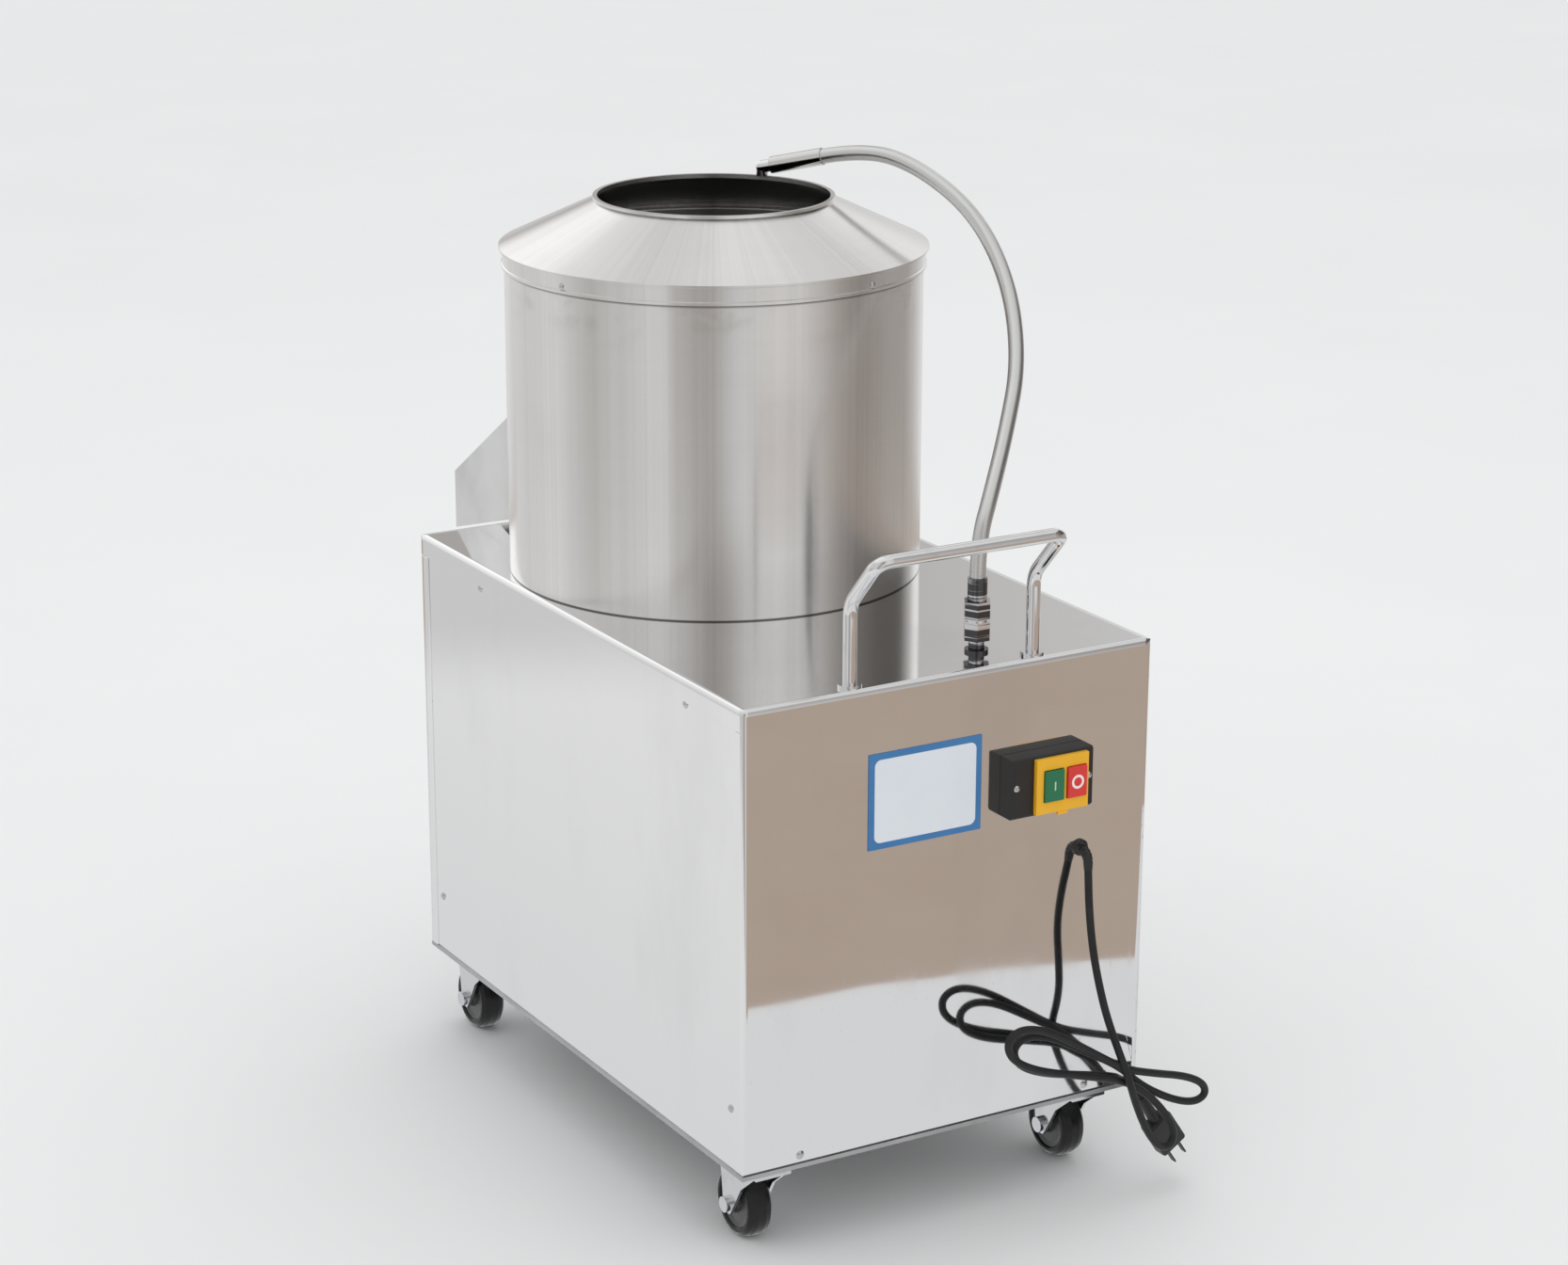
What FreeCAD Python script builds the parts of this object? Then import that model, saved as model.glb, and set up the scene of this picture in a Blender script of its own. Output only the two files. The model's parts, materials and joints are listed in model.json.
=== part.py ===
import FreeCAD, Part
import math
import os

import Sketcher

V = FreeCAD.Vector

# Driving dimensions in millimetres: one spreadsheet cell and one alias each.
DIMENSIONS = {
    "cabinet_width": 410.0,
    "cabinet_depth": 623.0,
    "cabinet_height": 422.5,
    "castor_height": 85.0,
    "panel_sheet": 1.2,
    "top_sheet": 1.5,
    "panel_lift": 6.0,
    "corner_return": 13.0,
    "top_fold": 20.0,
    "seam": 0.8,
    "handle_reach": 35.0,
    "chute_reach": 101.0,
    "frame_flange": 30.0,
    "frame_thick": 4.0,
    "frame_inset": 3.0,
    "post_leg": 25.0,
    "post_thick": 3.0,
    "rail_height": 150.0,
    "plate_thick": 6.0,
    "motor_from_front": 110.0,
    "motor_plate_depth": 176.0,
    "motor_barrel": 70.0,
    "motor_barrel_length": 150.0,
    "motor_bell_length": 46.0,
    "motor_flange": 80.0,
    "motor_flange_thick": 12.0,
    "motor_shaft": 9.5,
    "motor_pulley": 40.0,
    "spindle_pulley": 120.0,
    "pulley_width": 20.0,
    "pulley_drop": 40.0,
    "belt_width": 9.0,
    "belt_thick": 8.0,
    "belt_play": 0.5,
    "drum_from_front": 397.5,
    "drum_side": -8.0,
    "drum_outer": 191.0,
    "drum_wall": 1.5,
    "drum_height": 299.0,
    "lining_thick": 6.2,
    "lining_height": 292.0,
    "lining_play": 0.3,
    "plate_hole": 181.0,
    "hood_skirt_low": 285.0,
    "hood_foot": 196.0,
    "hood_foot_height": 303.0,
    "hood_sheet": 1.4,
    "mouth_bore": 106.0,
    "mouth_height": 347.5,
    "mouth_band": 3.0,
    "spindle_bore": 15.0,
    "running_gap": 0.05,
    "bearing_seat": 31.0,
    "bearing_width": 16.0,
    "housing_outer": 40.0,
    "housing_top": 37.5,
    "pan_depth": 76.0,
    "drain_outer": 25.0,
    "drain_reach": 30.0,
    "disc_gap": 6.0,
    "disc_thick": 10.0,
    "disc_rise": 7.5,
    "hump_rise": 12.0,
    "hump_round": 120.0,
    "paddle_height": 34.0,
    "sill_rise": 26.0,
    "opening_width": 195.0,
    "opening_height": 115.0,
    "door_play": 1.5,
    "chute_width": 225.0,
    "chute_sheet": 1.5,
    "chute_clear": 2.0,
    "chute_floor_slope": 0.3,
    "chute_lip": 58.0,
    "chute_top_slope": 0.66,
    "hinge_reach": 9.0,
    "hinge_rise": 6.5,
    "hinge_pin": 4.0,
    "latch_arm": 58.0,
    "latch_offset": 60.0,
    "latch_drop": 55.0,
    "handle_tube": 6.0,
    "handle_foot": 14.0,
    "handle_left": 94.0,
    "handle_right": 90.0,
    "handle_leg": 72.0,
    "handle_lean": 43.0,
    "handle_lift": 46.0,
    "plate_left": 122.0,
    "plate_width": 113.4,
    "plate_height": 86.0,
    "plate_bottom": 278.0,
    "switch_left": 255.0,
    "switch_width": 85.0,
    "switch_height": 54.5,
    "switch_depth": 18.0,
    "switch_bottom": 286.5,
    "switch_wall": 2.5,
    "cover_left": 23.0,
    "cover_width": 54.0,
    "cover_height": 50.0,
    "cover_raise": 5.0,
    "button_width": 19.5,
    "button_height": 28.0,
    "button_raise": 2.5,
    "button_depth": 14.0,
    "button_play": 0.4,
    "gland_left": 340.8,
    "gland_height": 241.4,
    "cord_width": 7.0,
    "castor_side": 40.0,
    "castor_end": 46.0,
    "castor_trail": 20.0,
    "wheel_round": 32.0,
    "hub_round": 23.0,
    "tyre_width": 24.0,
    "axle_round": 4.0,
    "inlet_left": 258.0,
    "inlet_back": 45.0,
    "hose_width": 14.0,
}

doc = FreeCAD.newDocument("potato_peeler")
sheet = doc.addObject("Spreadsheet::Sheet", "dims")
for row, (alias, value) in enumerate(DIMENSIONS.items(), start=1):
    sheet.set("A%d" % row, alias)
    sheet.set("B%d" % row, str(value))
    sheet.setAlias("B%d" % row, alias)
doc.recompute()

NODES = []


class Size:
    """A length: its value in millimetres and the spreadsheet expression that gives it."""

    def __init__(self, value, text):
        self.value = float(value)
        self.text = text

    def _join(self, other, sign, value):
        other = as_size(other)
        return Size(value, "(%s %s %s)" % (self.text, sign, other.text))

    def __add__(self, other):
        return self._join(other, "+", self.value + as_size(other).value)

    def __radd__(self, other):
        return as_size(other) + self

    def __sub__(self, other):
        return self._join(other, "-", self.value - as_size(other).value)

    def __rsub__(self, other):
        return as_size(other) - self

    def __mul__(self, other):
        return self._join(other, "*", self.value * as_size(other).value)

    def __rmul__(self, other):
        return as_size(other) * self

    def __truediv__(self, other):
        return self._join(other, "/", self.value / as_size(other).value)

    def __neg__(self):
        return Size(-self.value, "(-1 * %s)" % self.text)


def as_size(item):
    """Return item as a Size, so that plain numbers mix with spreadsheet cells."""
    if isinstance(item, Size):
        return item
    return Size(item, repr(float(item)))


def cell(alias):
    """Return the spreadsheet cell of that alias as a Size, read back from the sheet."""
    return Size(sheet.get(alias), "dims." + alias)


def val(item):
    """Return the plain number of a Size or a number."""
    return as_size(item).value


def keep(obj, name):
    """Mark an object as a sub-part: its label names its file."""
    obj.Label = name
    NODES.append(obj)
    return obj


def place(obj, x, y, z, turn=None):
    """Bind an object's position to the sizes, after an optional turn (axis, degrees)."""
    rotation = FreeCAD.Rotation(turn[0], turn[1]) if turn else FreeCAD.Rotation()
    obj.Placement = FreeCAD.Placement(V(val(x), val(y), val(z)), rotation)
    for axis, size in (("x", x), ("y", y), ("z", z)):
        obj.setExpression("Placement.Base." + axis, as_size(size).text)
    return obj


def box(length, width, height, x, y, z):
    """A box whose low corner is at x, y, z."""
    obj = doc.addObject("Part::Box", "box")
    for prop, size in (("Length", length), ("Width", width), ("Height", height)):
        obj.setExpression(prop, as_size(size).text)
    return place(obj, x, y, z)


TURNS = {"z": None, "x": (V(0, 1, 0), 90), "y": (V(1, 0, 0), -90)}


def rod(radius, height, x, y, z, along="z"):
    """A cylinder that starts at x, y, z and runs along one axis."""
    obj = doc.addObject("Part::Cylinder", "rod")
    obj.setExpression("Radius", as_size(radius).text)
    obj.setExpression("Height", as_size(height).text)
    return place(obj, x, y, z, TURNS[along])


def fuse(parts):
    """One solid from pieces that touch or overlap."""
    obj = doc.addObject("Part::MultiFuse", "fuse")
    obj.Shapes = parts
    obj.Refine = True
    return obj


def cut(base, tools):
    """The base less every tool."""
    obj = doc.addObject("Part::Cut", "cut")
    obj.Base = base
    obj.Tool = tools[0] if len(tools) == 1 else fuse(tools)
    return obj


def common(one, other):
    """What two shapes share."""
    obj = doc.addObject("Part::Common", "common")
    obj.Base = one
    obj.Tool = other
    return obj


def group(parts):
    """Several separate solids in one node."""
    obj = doc.addObject("Part::Compound", "group")
    obj.Links = parts
    return obj


def ready(shape, name, at=(0, 0, 0)):
    """A sub-part whose shape is made directly, then moved to its place."""
    obj = doc.addObject("Part::Feature", name)
    obj.Shape = shape
    obj.Placement = FreeCAD.Placement(V(*at), FreeCAD.Rotation())
    return keep(obj, name)


PLANE_ROLES = {"XY": "XY_Plane", "XZ": "XZ_Plane", "YZ": "YZ_Plane"}


def sketch_on(body, plane, name):
    """A sketch on one of the body's own origin planes."""
    sketch = body.newObject("Sketcher::SketchObject", name)
    support = [f for f in body.Origin.OriginFeatures if f.Role == PLANE_ROLES[plane]][0]
    sketch.AttachmentSupport = [(support, "")]
    sketch.MapMode = "FlatFace"
    return sketch


def pin_down(sketch, geo, pos, x, y):
    """Bind one sketch point to its two sizes; a point on an axis is put on that axis."""
    for kind, size, axis in (("DistanceX", x, -2), ("DistanceY", y, -1)):
        size = as_size(size)
        if size.text == "0.0":
            sketch.addConstraint(Sketcher.Constraint("PointOnObject", geo, pos, axis))
        else:
            number = sketch.addConstraint(
                Sketcher.Constraint(kind, -1, 1, geo, pos, size.value))
            sketch.setExpression("Constraints[%d]" % number, size.text)


def outline(sketch, points):
    """A closed outline of straight lines through points, each point bound to its sizes."""
    first = sketch.GeometryCount
    count = len(points)
    for i, (x, y) in enumerate(points):
        nx, ny = points[(i + 1) % count]
        sketch.addGeometry(Part.LineSegment(V(val(x), val(y), 0), V(val(nx), val(ny), 0)))
    for i in range(count):
        after = first + (i + 1) % count
        sketch.addConstraint(Sketcher.Constraint("Coincident", first + i, 2, after, 1))
    for i, (x, y) in enumerate(points):
        pin_down(sketch, first + i, 1, x, y)


def ring(sketch, x, y, radius):
    """A circle bound to its centre and radius."""
    geo = sketch.addGeometry(Part.Circle(V(val(x), val(y), 0), V(0, 0, 1), val(radius)))
    pin_down(sketch, geo, 3, x, y)
    number = sketch.addConstraint(Sketcher.Constraint("Radius", geo, val(radius)))
    sketch.setExpression("Constraints[%d]" % number, as_size(radius).text)


def pad(body, plane, points, length, holes=()):
    """Pad an outline with round holes; every plane pads towards its positive axis."""
    sketch = sketch_on(body, plane, "outline")
    outline(sketch, points)
    for x, y, radius in holes:
        ring(sketch, x, y, radius)
    feature = body.newObject("PartDesign::Pad", "pad")
    feature.Profile = sketch
    feature.setExpression("Length", as_size(length).text)
    feature.Reversed = plane == "XZ"
    doc.recompute()
    return feature


def new_body(name):
    """An empty body that will be the sub-part of that name."""
    return keep(doc.addObject("PartDesign::Body", name), name)


def turned(name, profile, x, y, turn=None, z=0.0):
    """A turned piece: a profile of radius and height, revolved about the piece's own Z."""
    body = new_body(name)
    sketch = sketch_on(body, "XZ", "profile")
    outline(sketch, profile)
    feature = body.newObject("PartDesign::Revolution", "revolution")
    feature.Profile = sketch
    feature.ReferenceAxis = (sketch, ["V_Axis"])
    feature.Angle = 360.0
    doc.recompute()
    place(body, x, y, z, turn)
    return body


def tube_profile(inner, outer, low, high):
    """The four corners of a plain ring's profile."""
    return [(inner, low), (outer, low), (outer, high), (inner, high)]


# Sizes that follow from the driving dimensions.
half_width = cell("cabinet_width") / 2
overall_depth = cell("handle_reach") + cell("cabinet_depth") + cell("chute_reach")
front_y = cell("handle_reach") - overall_depth / 2
back_y = front_y + cell("cabinet_depth")
base_z = cell("castor_height")
top_z = base_z + cell("cabinet_height")
drum_x = cell("drum_side")
drum_y = front_y + cell("drum_from_front")
motor_y = front_y + cell("motor_from_front")
rail_top = base_z + cell("rail_height")
sheet_t = cell("panel_sheet")
under_top = top_z - cell("top_sheet")


def make_frame():
    """Welded angle frame: bottom flange ring, upright ring, gussets, posts and side rails."""
    flange = cell("frame_flange")
    thick = cell("frame_thick")
    inset = cell("frame_inset")
    depth = cell("cabinet_depth")
    width = cell("cabinet_width")
    leg = cell("post_leg")
    wall = cell("post_thick")
    ring_low = cut(box(width, depth, thick, -half_width, front_y, base_z),
                   [box(width - flange * 2, depth - flange * 2, thick * 3,
                        flange - half_width, front_y + flange, base_z - thick)])
    upright = flange - thick
    ring_up = cut(box(width - inset * 2, depth - inset * 2, upright,
                      inset - half_width, front_y + inset, base_z + thick),
                  [box(width - inset * 2 - wall * 2, depth - inset * 2 - wall * 2, upright * 3,
                       inset + wall - half_width, front_y + inset + wall, base_z)])
    pieces = [ring_low, ring_up]
    gusset_x = cell("castor_side") * 2 + 4
    gusset_y = cell("castor_end") * 2 + 4
    post_high = under_top - base_z - thick
    for side in (-1, 1):
        for end in (-1, 1):
            gx = -half_width if side < 0 else half_width - gusset_x
            gy = front_y if end < 0 else back_y - gusset_y
            pieces.append(box(gusset_x, gusset_y, thick, gx, gy, base_z))
            px = inset - half_width if side < 0 else half_width - inset - leg
            py = front_y + inset if end < 0 else back_y - inset - leg
            hx = px + wall if side < 0 else px - wall
            hy = py + wall if end < 0 else py - wall
            post = cut(box(leg, leg, post_high, px, py, base_z + thick),
                       [box(leg, leg, post_high * 3, hx, hy, base_z - post_high)])
            pieces.append(post)
        rail_x = inset - half_width if side < 0 else half_width - inset - leg
        lip_x = rail_x if side < 0 else rail_x + leg - wall
        rail_y = front_y + inset + wall
        rail_len = depth - inset * 2 - wall * 2
        pieces.append(box(leg, rail_len, wall, rail_x, rail_y, rail_top - wall))
        pieces.append(box(wall, rail_len, leg, lip_x, rail_y, rail_top - leg))
    keep(fuse(pieces), "welded_frame")


def make_top_plate():
    """Top sheet folded down at both sides and the back, open under the drum."""
    fold = cell("top_fold")
    width = cell("cabinet_width")
    thick = cell("top_sheet")
    lead = sheet_t + cell("seam")
    depth = cell("cabinet_depth")
    body = new_body("top_plate")
    pad(body, "XY", [(0, 0), (width, 0), (width, depth), (0, depth)], fold)
    inner = body.newObject("PartDesign::Pocket", "under_side")
    sketch = sketch_on(body, "XY", "under_outline")
    outline(sketch, [(sheet_t, 0), (width - sheet_t, 0),
                     (width - sheet_t, depth - sheet_t), (sheet_t, depth - sheet_t)])
    inner.Profile = sketch
    inner.Reversed = True
    inner.setExpression("Length", (fold - thick).text)
    front = body.newObject("PartDesign::Pocket", "front_relief")
    relief = sketch_on(body, "XY", "relief_outline")
    outline(relief, [(0, 0), (width, 0), (width, lead), (0, lead)])
    front.Profile = relief
    front.Reversed = True
    front.setExpression("Length", (fold - thick).text)
    hole = body.newObject("PartDesign::Pocket", "drum_hole")
    hole_sketch = sketch_on(body, "XY", "hole_outline")
    ring(hole_sketch, half_width + cell("drum_side"), cell("drum_from_front"), cell("plate_hole"))
    hole.Profile = hole_sketch
    hole.Reversed = True
    hole.setExpression("Length", (fold * 2).text)
    doc.recompute()
    place(body, -half_width, front_y, top_z - fold)


def channel(width, back, thick):
    """Plan of a sheet bent into a shallow channel, as wide as width, returns back long."""
    return [(0, 0), (width, 0), (width, back), (width - thick, back),
            (width - thick, thick), (thick, thick), (thick, back), (0, back)]


def make_panels():
    """Front, back and side sheets of the cabinet."""
    width = cell("cabinet_width")
    depth = cell("cabinet_depth")
    fold = cell("top_fold")
    seam = cell("seam")
    back = cell("corner_return")
    low = base_z + cell("panel_lift")
    below_fold = top_z - fold - seam
    front = new_body("front_panel")
    pad(front, "XY", channel(width, back, sheet_t), below_fold - low)
    pad(front, "XY", [(0, 0), (width, 0), (width, sheet_t), (0, sheet_t)], under_top - low)
    hole = front.newObject("PartDesign::Pocket", "gland_hole")
    sketch = sketch_on(front, "XZ", "gland_outline")
    gland_r = cell("cord_width") / 2 + 3.3
    ring(sketch, cell("gland_left"), cell("gland_height") - cell("panel_lift"), gland_r)
    hole.Profile = sketch
    hole.Length = 5.0
    hole.Midplane = True
    doc.recompute()
    place(front, -half_width, front_y, low)

    rear = new_body("back_panel")
    outer = [(x, depth - y) for x, y in channel(width, back, sheet_t)]
    rear_low = base_z + cell("frame_thick")
    pad(rear, "XY", outer, below_fold - rear_low)
    drain = rear.newObject("PartDesign::Pocket", "drain_hole")
    drain_sketch = sketch_on(rear, "XZ", "drain_outline")
    drain_z = top_z - cell("top_sheet") - cell("pan_depth") + cell("drain_outer") + 4.5
    ring(drain_sketch, half_width + cell("drum_side"), drain_z - rear_low, cell("drain_outer") + 0.5)
    drain.Profile = drain_sketch
    drain.setExpression("Length", (depth * 2).text)
    drain.Midplane = True
    doc.recompute()
    place(rear, -half_width, front_y, rear_low)

    side_depth = depth - sheet_t * 2 - seam * 2
    side_low = base_z + cell("frame_thick")
    for name, x in (("left_side_panel", sheet_t - half_width),
                    ("right_side_panel", half_width - sheet_t * 2)):
        body = new_body(name)
        pad(body, "XY", [(0, 0), (sheet_t, 0), (sheet_t, side_depth), (0, side_depth)],
            under_top - side_low)
        place(body, x, front_y + sheet_t + seam, side_low)


def make_plates():
    """The two steel plates on the side rails, for the motor and for the spindle's housing."""
    thick = cell("plate_thick")
    width = cell("cabinet_width") - cell("frame_inset") * 2 - cell("post_thick") * 2 - 1
    motor_depth = cell("motor_plate_depth")
    spigot = cell("motor_barrel") * 0.7
    motor = cut(box(width, motor_depth, thick, -width / 2, motor_y - motor_depth / 2, rail_top),
                [rod(spigot, thick * 3, drum_x, motor_y, rail_top - thick)])
    keep(motor, "motor_plate")
    seat_depth = cell("motor_plate_depth")
    seat = cut(box(width, seat_depth, thick, -width / 2, drum_y - seat_depth / 2, rail_top),
               [rod(cell("bearing_seat"), thick * 3, drum_x, drum_y, rail_top - thick)])
    keep(seat, "bearing_plate")


def make_motor():
    """Upright motor on its plate: barrel, end bells, terminal box with capacitor, shaft."""
    plate_top = rail_top + cell("plate_thick")
    flange_top = plate_top + cell("motor_flange_thick")
    barrel = cell("motor_barrel")
    barrel_top = flange_top + cell("motor_barrel_length")
    shaft = cell("motor_shaft")
    play = shaft + 0.5
    turned("motor_body", tube_profile(barrel * 0.72, barrel, flange_top, barrel_top), drum_x, motor_y)
    lower = cut(fuse([rod(cell("motor_flange"), cell("motor_flange_thick"), drum_x, motor_y, plate_top),
                      rod(cell("motor_barrel") * 0.69, 5.5, drum_x, motor_y, plate_top - 5.5)]),
                [rod(play, 60, drum_x, motor_y, plate_top - 20)])
    bell = cut(rod(barrel * 0.97, cell("motor_bell_length"), drum_x, motor_y, barrel_top),
               [rod(barrel * 0.9, cell("motor_bell_length") - 8, drum_x, motor_y, barrel_top - 4)])
    keep(group([lower, bell]), "motor_end_bells")
    boxed = box(46, 78, 84, drum_x + barrel - 2.5, motor_y - 39, flange_top + 30)
    carried = cut(boxed, [rod(barrel + 0.05, 200, drum_x, motor_y, flange_top)])
    capacitor = rod(18, 84, drum_x - barrel - 18.3, motor_y, flange_top + 30)
    keep(group([carried, capacitor]), "terminal_box")
    drop = cell("pulley_drop") + cell("pulley_width") + 8
    keep(rod(shaft, drop + 140, drum_x, motor_y, rail_top - drop), "motor_shaft")


def pulley(name, radius, bore, y):
    """A pulley with one belt groove between two rims, and a thinner web."""
    half = cell("pulley_width") / 2
    middle = rail_top - cell("pulley_drop")
    groove = cell("belt_width") / 2 + cell("belt_play")
    floor = radius - cell("belt_thick") - cell("belt_play") * 2
    turned(name, [(bore, middle - half), (radius, middle - half), (radius, middle - groove),
                  (floor, middle - groove), (floor, middle + groove), (radius, middle + groove),
                  (radius, middle + half), (bore, middle + half)], drum_x, y)


def belt_loop(one, other, gap):
    """A closed wire round two circles on the Y axis, with its two straight runs."""
    lean = math.asin((other - one) / gap)
    cx = math.cos(lean)
    sy = -math.sin(lean)
    right_one = V(one * cx, one * sy, 0)
    left_one = V(-one * cx, one * sy, 0)
    right_other = V(other * cx, gap + other * sy, 0)
    left_other = V(-other * cx, gap + other * sy, 0)
    low = Part.Arc(left_one, V(0, -one, 0), right_one)
    high = Part.Arc(right_other, V(0, gap + other, 0), left_other)
    return Part.Wire([low.toShape(), Part.LineSegment(right_one, right_other).toShape(),
                      high.toShape(), Part.LineSegment(left_other, left_one).toShape()])


def make_belt():
    """The belt round both pulleys, a little clear of both grooves."""
    play = val(cell("belt_play"))
    thick = val(cell("belt_thick"))
    gap = val(drum_y) - val(motor_y)
    small = val(cell("motor_pulley")) - thick - play
    large = val(cell("spindle_pulley")) - thick - play
    outer = Part.Face(belt_loop(small + thick, large + thick, gap))
    inner = Part.Face(belt_loop(small, large, gap))
    loop = outer.cut(inner).extrude(V(0, 0, val(cell("belt_width"))))
    middle = val(rail_top) - val(cell("pulley_drop"))
    ready(loop, "v_belt", (val(drum_x), val(motor_y), middle - val(cell("belt_width")) / 2))


pan_floor = under_top - cell("pan_depth")
drain_z = pan_floor + cell("drain_outer") + 4.5
housing_top = pan_floor + cell("housing_top")
disc_low = top_z + cell("disc_rise")
disc_top = disc_low + cell("disc_thick")


def make_spindle():
    """Spindle, its flanged housing with two sealed bearings and a lip seal."""
    bore = cell("spindle_bore")
    play = cell("running_gap")
    seat = cell("bearing_seat")
    plate_top = rail_top + cell("plate_thick")
    outer = cell("housing_outer")
    drop = cell("pulley_drop") + cell("pulley_width") + 4
    keep(rod(bore, disc_top - rail_top + drop, drum_x, drum_y, rail_top - drop), "spindle")
    turned("bearing_housing", [(seat, plate_top), (75, plate_top), (75, plate_top + 12),
                               (outer, plate_top + 12), (outer, housing_top), (seat, housing_top)],
           drum_x, drum_y)
    width = cell("bearing_width")
    seal = 8
    rings = []
    for low in (plate_top + 2, housing_top - seal - width):
        rings.append(cut(rod(seat - play, width, drum_x, drum_y, low),
                         [rod(bore + play, width * 3, drum_x, drum_y, low - width)]))
    keep(group(rings), "spindle_bearings")
    turned("lip_seal", tube_profile(bore + play, seat - play, housing_top - seal, housing_top),
           drum_x, drum_y)


def make_pan():
    """Waste pan under the top plate, with a raised collar and a drain stub to the back."""
    wall = 1.2
    bore = cell("plate_hole") + 1
    rim = bore + 10
    collar = cell("housing_outer") + 0.4
    collar_top = pan_floor + cell("housing_top") - 4
    low = pan_floor
    floor = low + wall
    profile = [(collar, low), (bore + wall, low), (bore + wall, under_top - wall),
               (rim, under_top - wall), (rim, under_top), (bore, under_top), (bore, floor),
               (collar + wall, floor), (collar + wall, collar_top), (collar, collar_top)]
    bowl = doc.addObject("PartDesign::Body", "bowl")
    sketch = sketch_on(bowl, "XZ", "profile")
    outline(sketch, profile)
    turn = bowl.newObject("PartDesign::Revolution", "revolution")
    turn.Profile = sketch
    turn.ReferenceAxis = (sketch, ["V_Axis"])
    turn.Angle = 360.0
    doc.recompute()
    place(bowl, drum_x, drum_y, 0)
    stub = cell("drain_outer")
    reach = back_y + cell("drain_reach") - drum_y
    start = bore - 8
    pipe = fuse([rod(stub, reach - start, drum_x, drum_y + start, drain_z, "y"),
                 rod(stub + 2.5, 3, drum_x, back_y, drain_z, "y")])
    hollow = rod(stub - 1.5, reach - start + 20, drum_x, drum_y + start - 10, drain_z, "y")
    keep_out = rod(bore, cell("pan_depth"), drum_x, drum_y, pan_floor)
    keep(cut(fuse([bowl, cut(pipe, [keep_out])]), [hollow]), "waste_pan")


def make_drive_pieces():
    """Both pulleys and the belt."""
    pulley("motor_pulley", cell("motor_pulley"), cell("motor_shaft") + cell("running_gap"), motor_y)
    pulley("spindle_pulley", cell("spindle_pulley"), cell("spindle_bore") + cell("running_gap"),
           drum_y)
    make_belt()


lining_in = cell("drum_outer") - cell("drum_wall") - cell("lining_play") - cell("lining_thick")


def make_disc():
    """Abrasive disc: plate with hub, three raised waves, and two paddles under it."""
    edge = lining_in - cell("disc_gap")
    bore = cell("spindle_bore") + cell("running_gap")
    flat = rod(edge, cell("disc_thick"), drum_x, drum_y, disc_low)
    hub = rod(28, 24, drum_x, drum_y, disc_low - 24)
    waves = []
    round_r = cell("hump_round")
    for number in range(3):
        ridge = rod(round_r, edge + 10, drum_x, drum_y, disc_top + cell("hump_rise") - round_r, "y")
        ridge.Placement.Rotation = FreeCAD.Rotation(V(0, 0, 1), 120 * number + 30).multiply(
            FreeCAD.Rotation(V(1, 0, 0), -90))
        waves.append(ridge)
    limit = rod(edge, cell("hump_rise") + 2, drum_x, drum_y, disc_top - 1)
    raised = common(fuse(waves), limit)
    paddle_low = disc_low - cell("paddle_height")
    blades = [box(edge - 62, 4, cell("paddle_height"), drum_x + 50, drum_y - 2, paddle_low),
              box(edge - 62, 4, cell("paddle_height"), drum_x + 12 - edge, drum_y - 2, paddle_low)]
    shaft_hole = rod(bore, 90, drum_x, drum_y, disc_low - 50)
    keep(cut(fuse([flat, hub, raised] + blades), [shaft_hole]), "abrasive_disc")
    top = disc_top + cell("hump_rise")
    turned("disc_cap", [(0, top), (26, top), (30, top + 3), (24, top + 10), (12, top + 13),
                        (0, top + 13)], drum_x, drum_y)


def make_drum():
    """Drum shell and lining with the discharge opening, and the cone hood with its mouth."""
    outer = cell("drum_outer")
    wall = cell("drum_wall")
    opening_low = top_z + cell("sill_rise")
    width = cell("opening_width")
    height = cell("opening_height")

    def window():
        return box(width, outer * 2, height, drum_x - width / 2, drum_y, opening_low)

    def barrel(inner, outside, high):
        solid = rod(outside, high, drum_x, drum_y, top_z)
        return cut(solid, [rod(inner, high + 2, drum_x, drum_y, top_z - 1), window()])

    keep(barrel(outer - wall, outer, cell("drum_height")), "drum_shell")
    keep(barrel(lining_in, lining_in + cell("lining_thick"), cell("lining_height")),
         "abrasive_lining")

    thick = cell("hood_sheet")
    skirt = outer + 0.4
    low = top_z + cell("hood_skirt_low")
    foot = cell("hood_foot")
    foot_z = top_z + cell("hood_foot_height")
    mouth = cell("mouth_bore")
    mouth_z = top_z + cell("mouth_height")
    band_z = mouth_z - cell("mouth_band")
    over_drum = top_z + cell("drum_height") + 1
    turned("cone_hood", [(skirt, low), (skirt + thick + 1.2, low), (skirt + thick + 1.2, low + 2.5),
                         (skirt + thick, low + 3.2), (skirt + thick, over_drum),
                         (foot, over_drum + 1), (foot, foot_z), (mouth + thick, band_z),
                         (mouth + thick, mouth_z - 2.5), (mouth + 4, mouth_z - 2.5),
                         (mouth + 4, mouth_z), (mouth, mouth_z), (mouth, band_z - 0.9),
                         (foot - thick, foot_z - thick * 0.9), (skirt, over_drum + 1)], drum_x, drum_y)


def chute_side(y):
    """Height of the chute floor's underside at a distance y behind the front panel."""
    return top_z + cell("chute_clear") + (cell("cabinet_depth") - y) * cell("chute_floor_slope")


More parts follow.
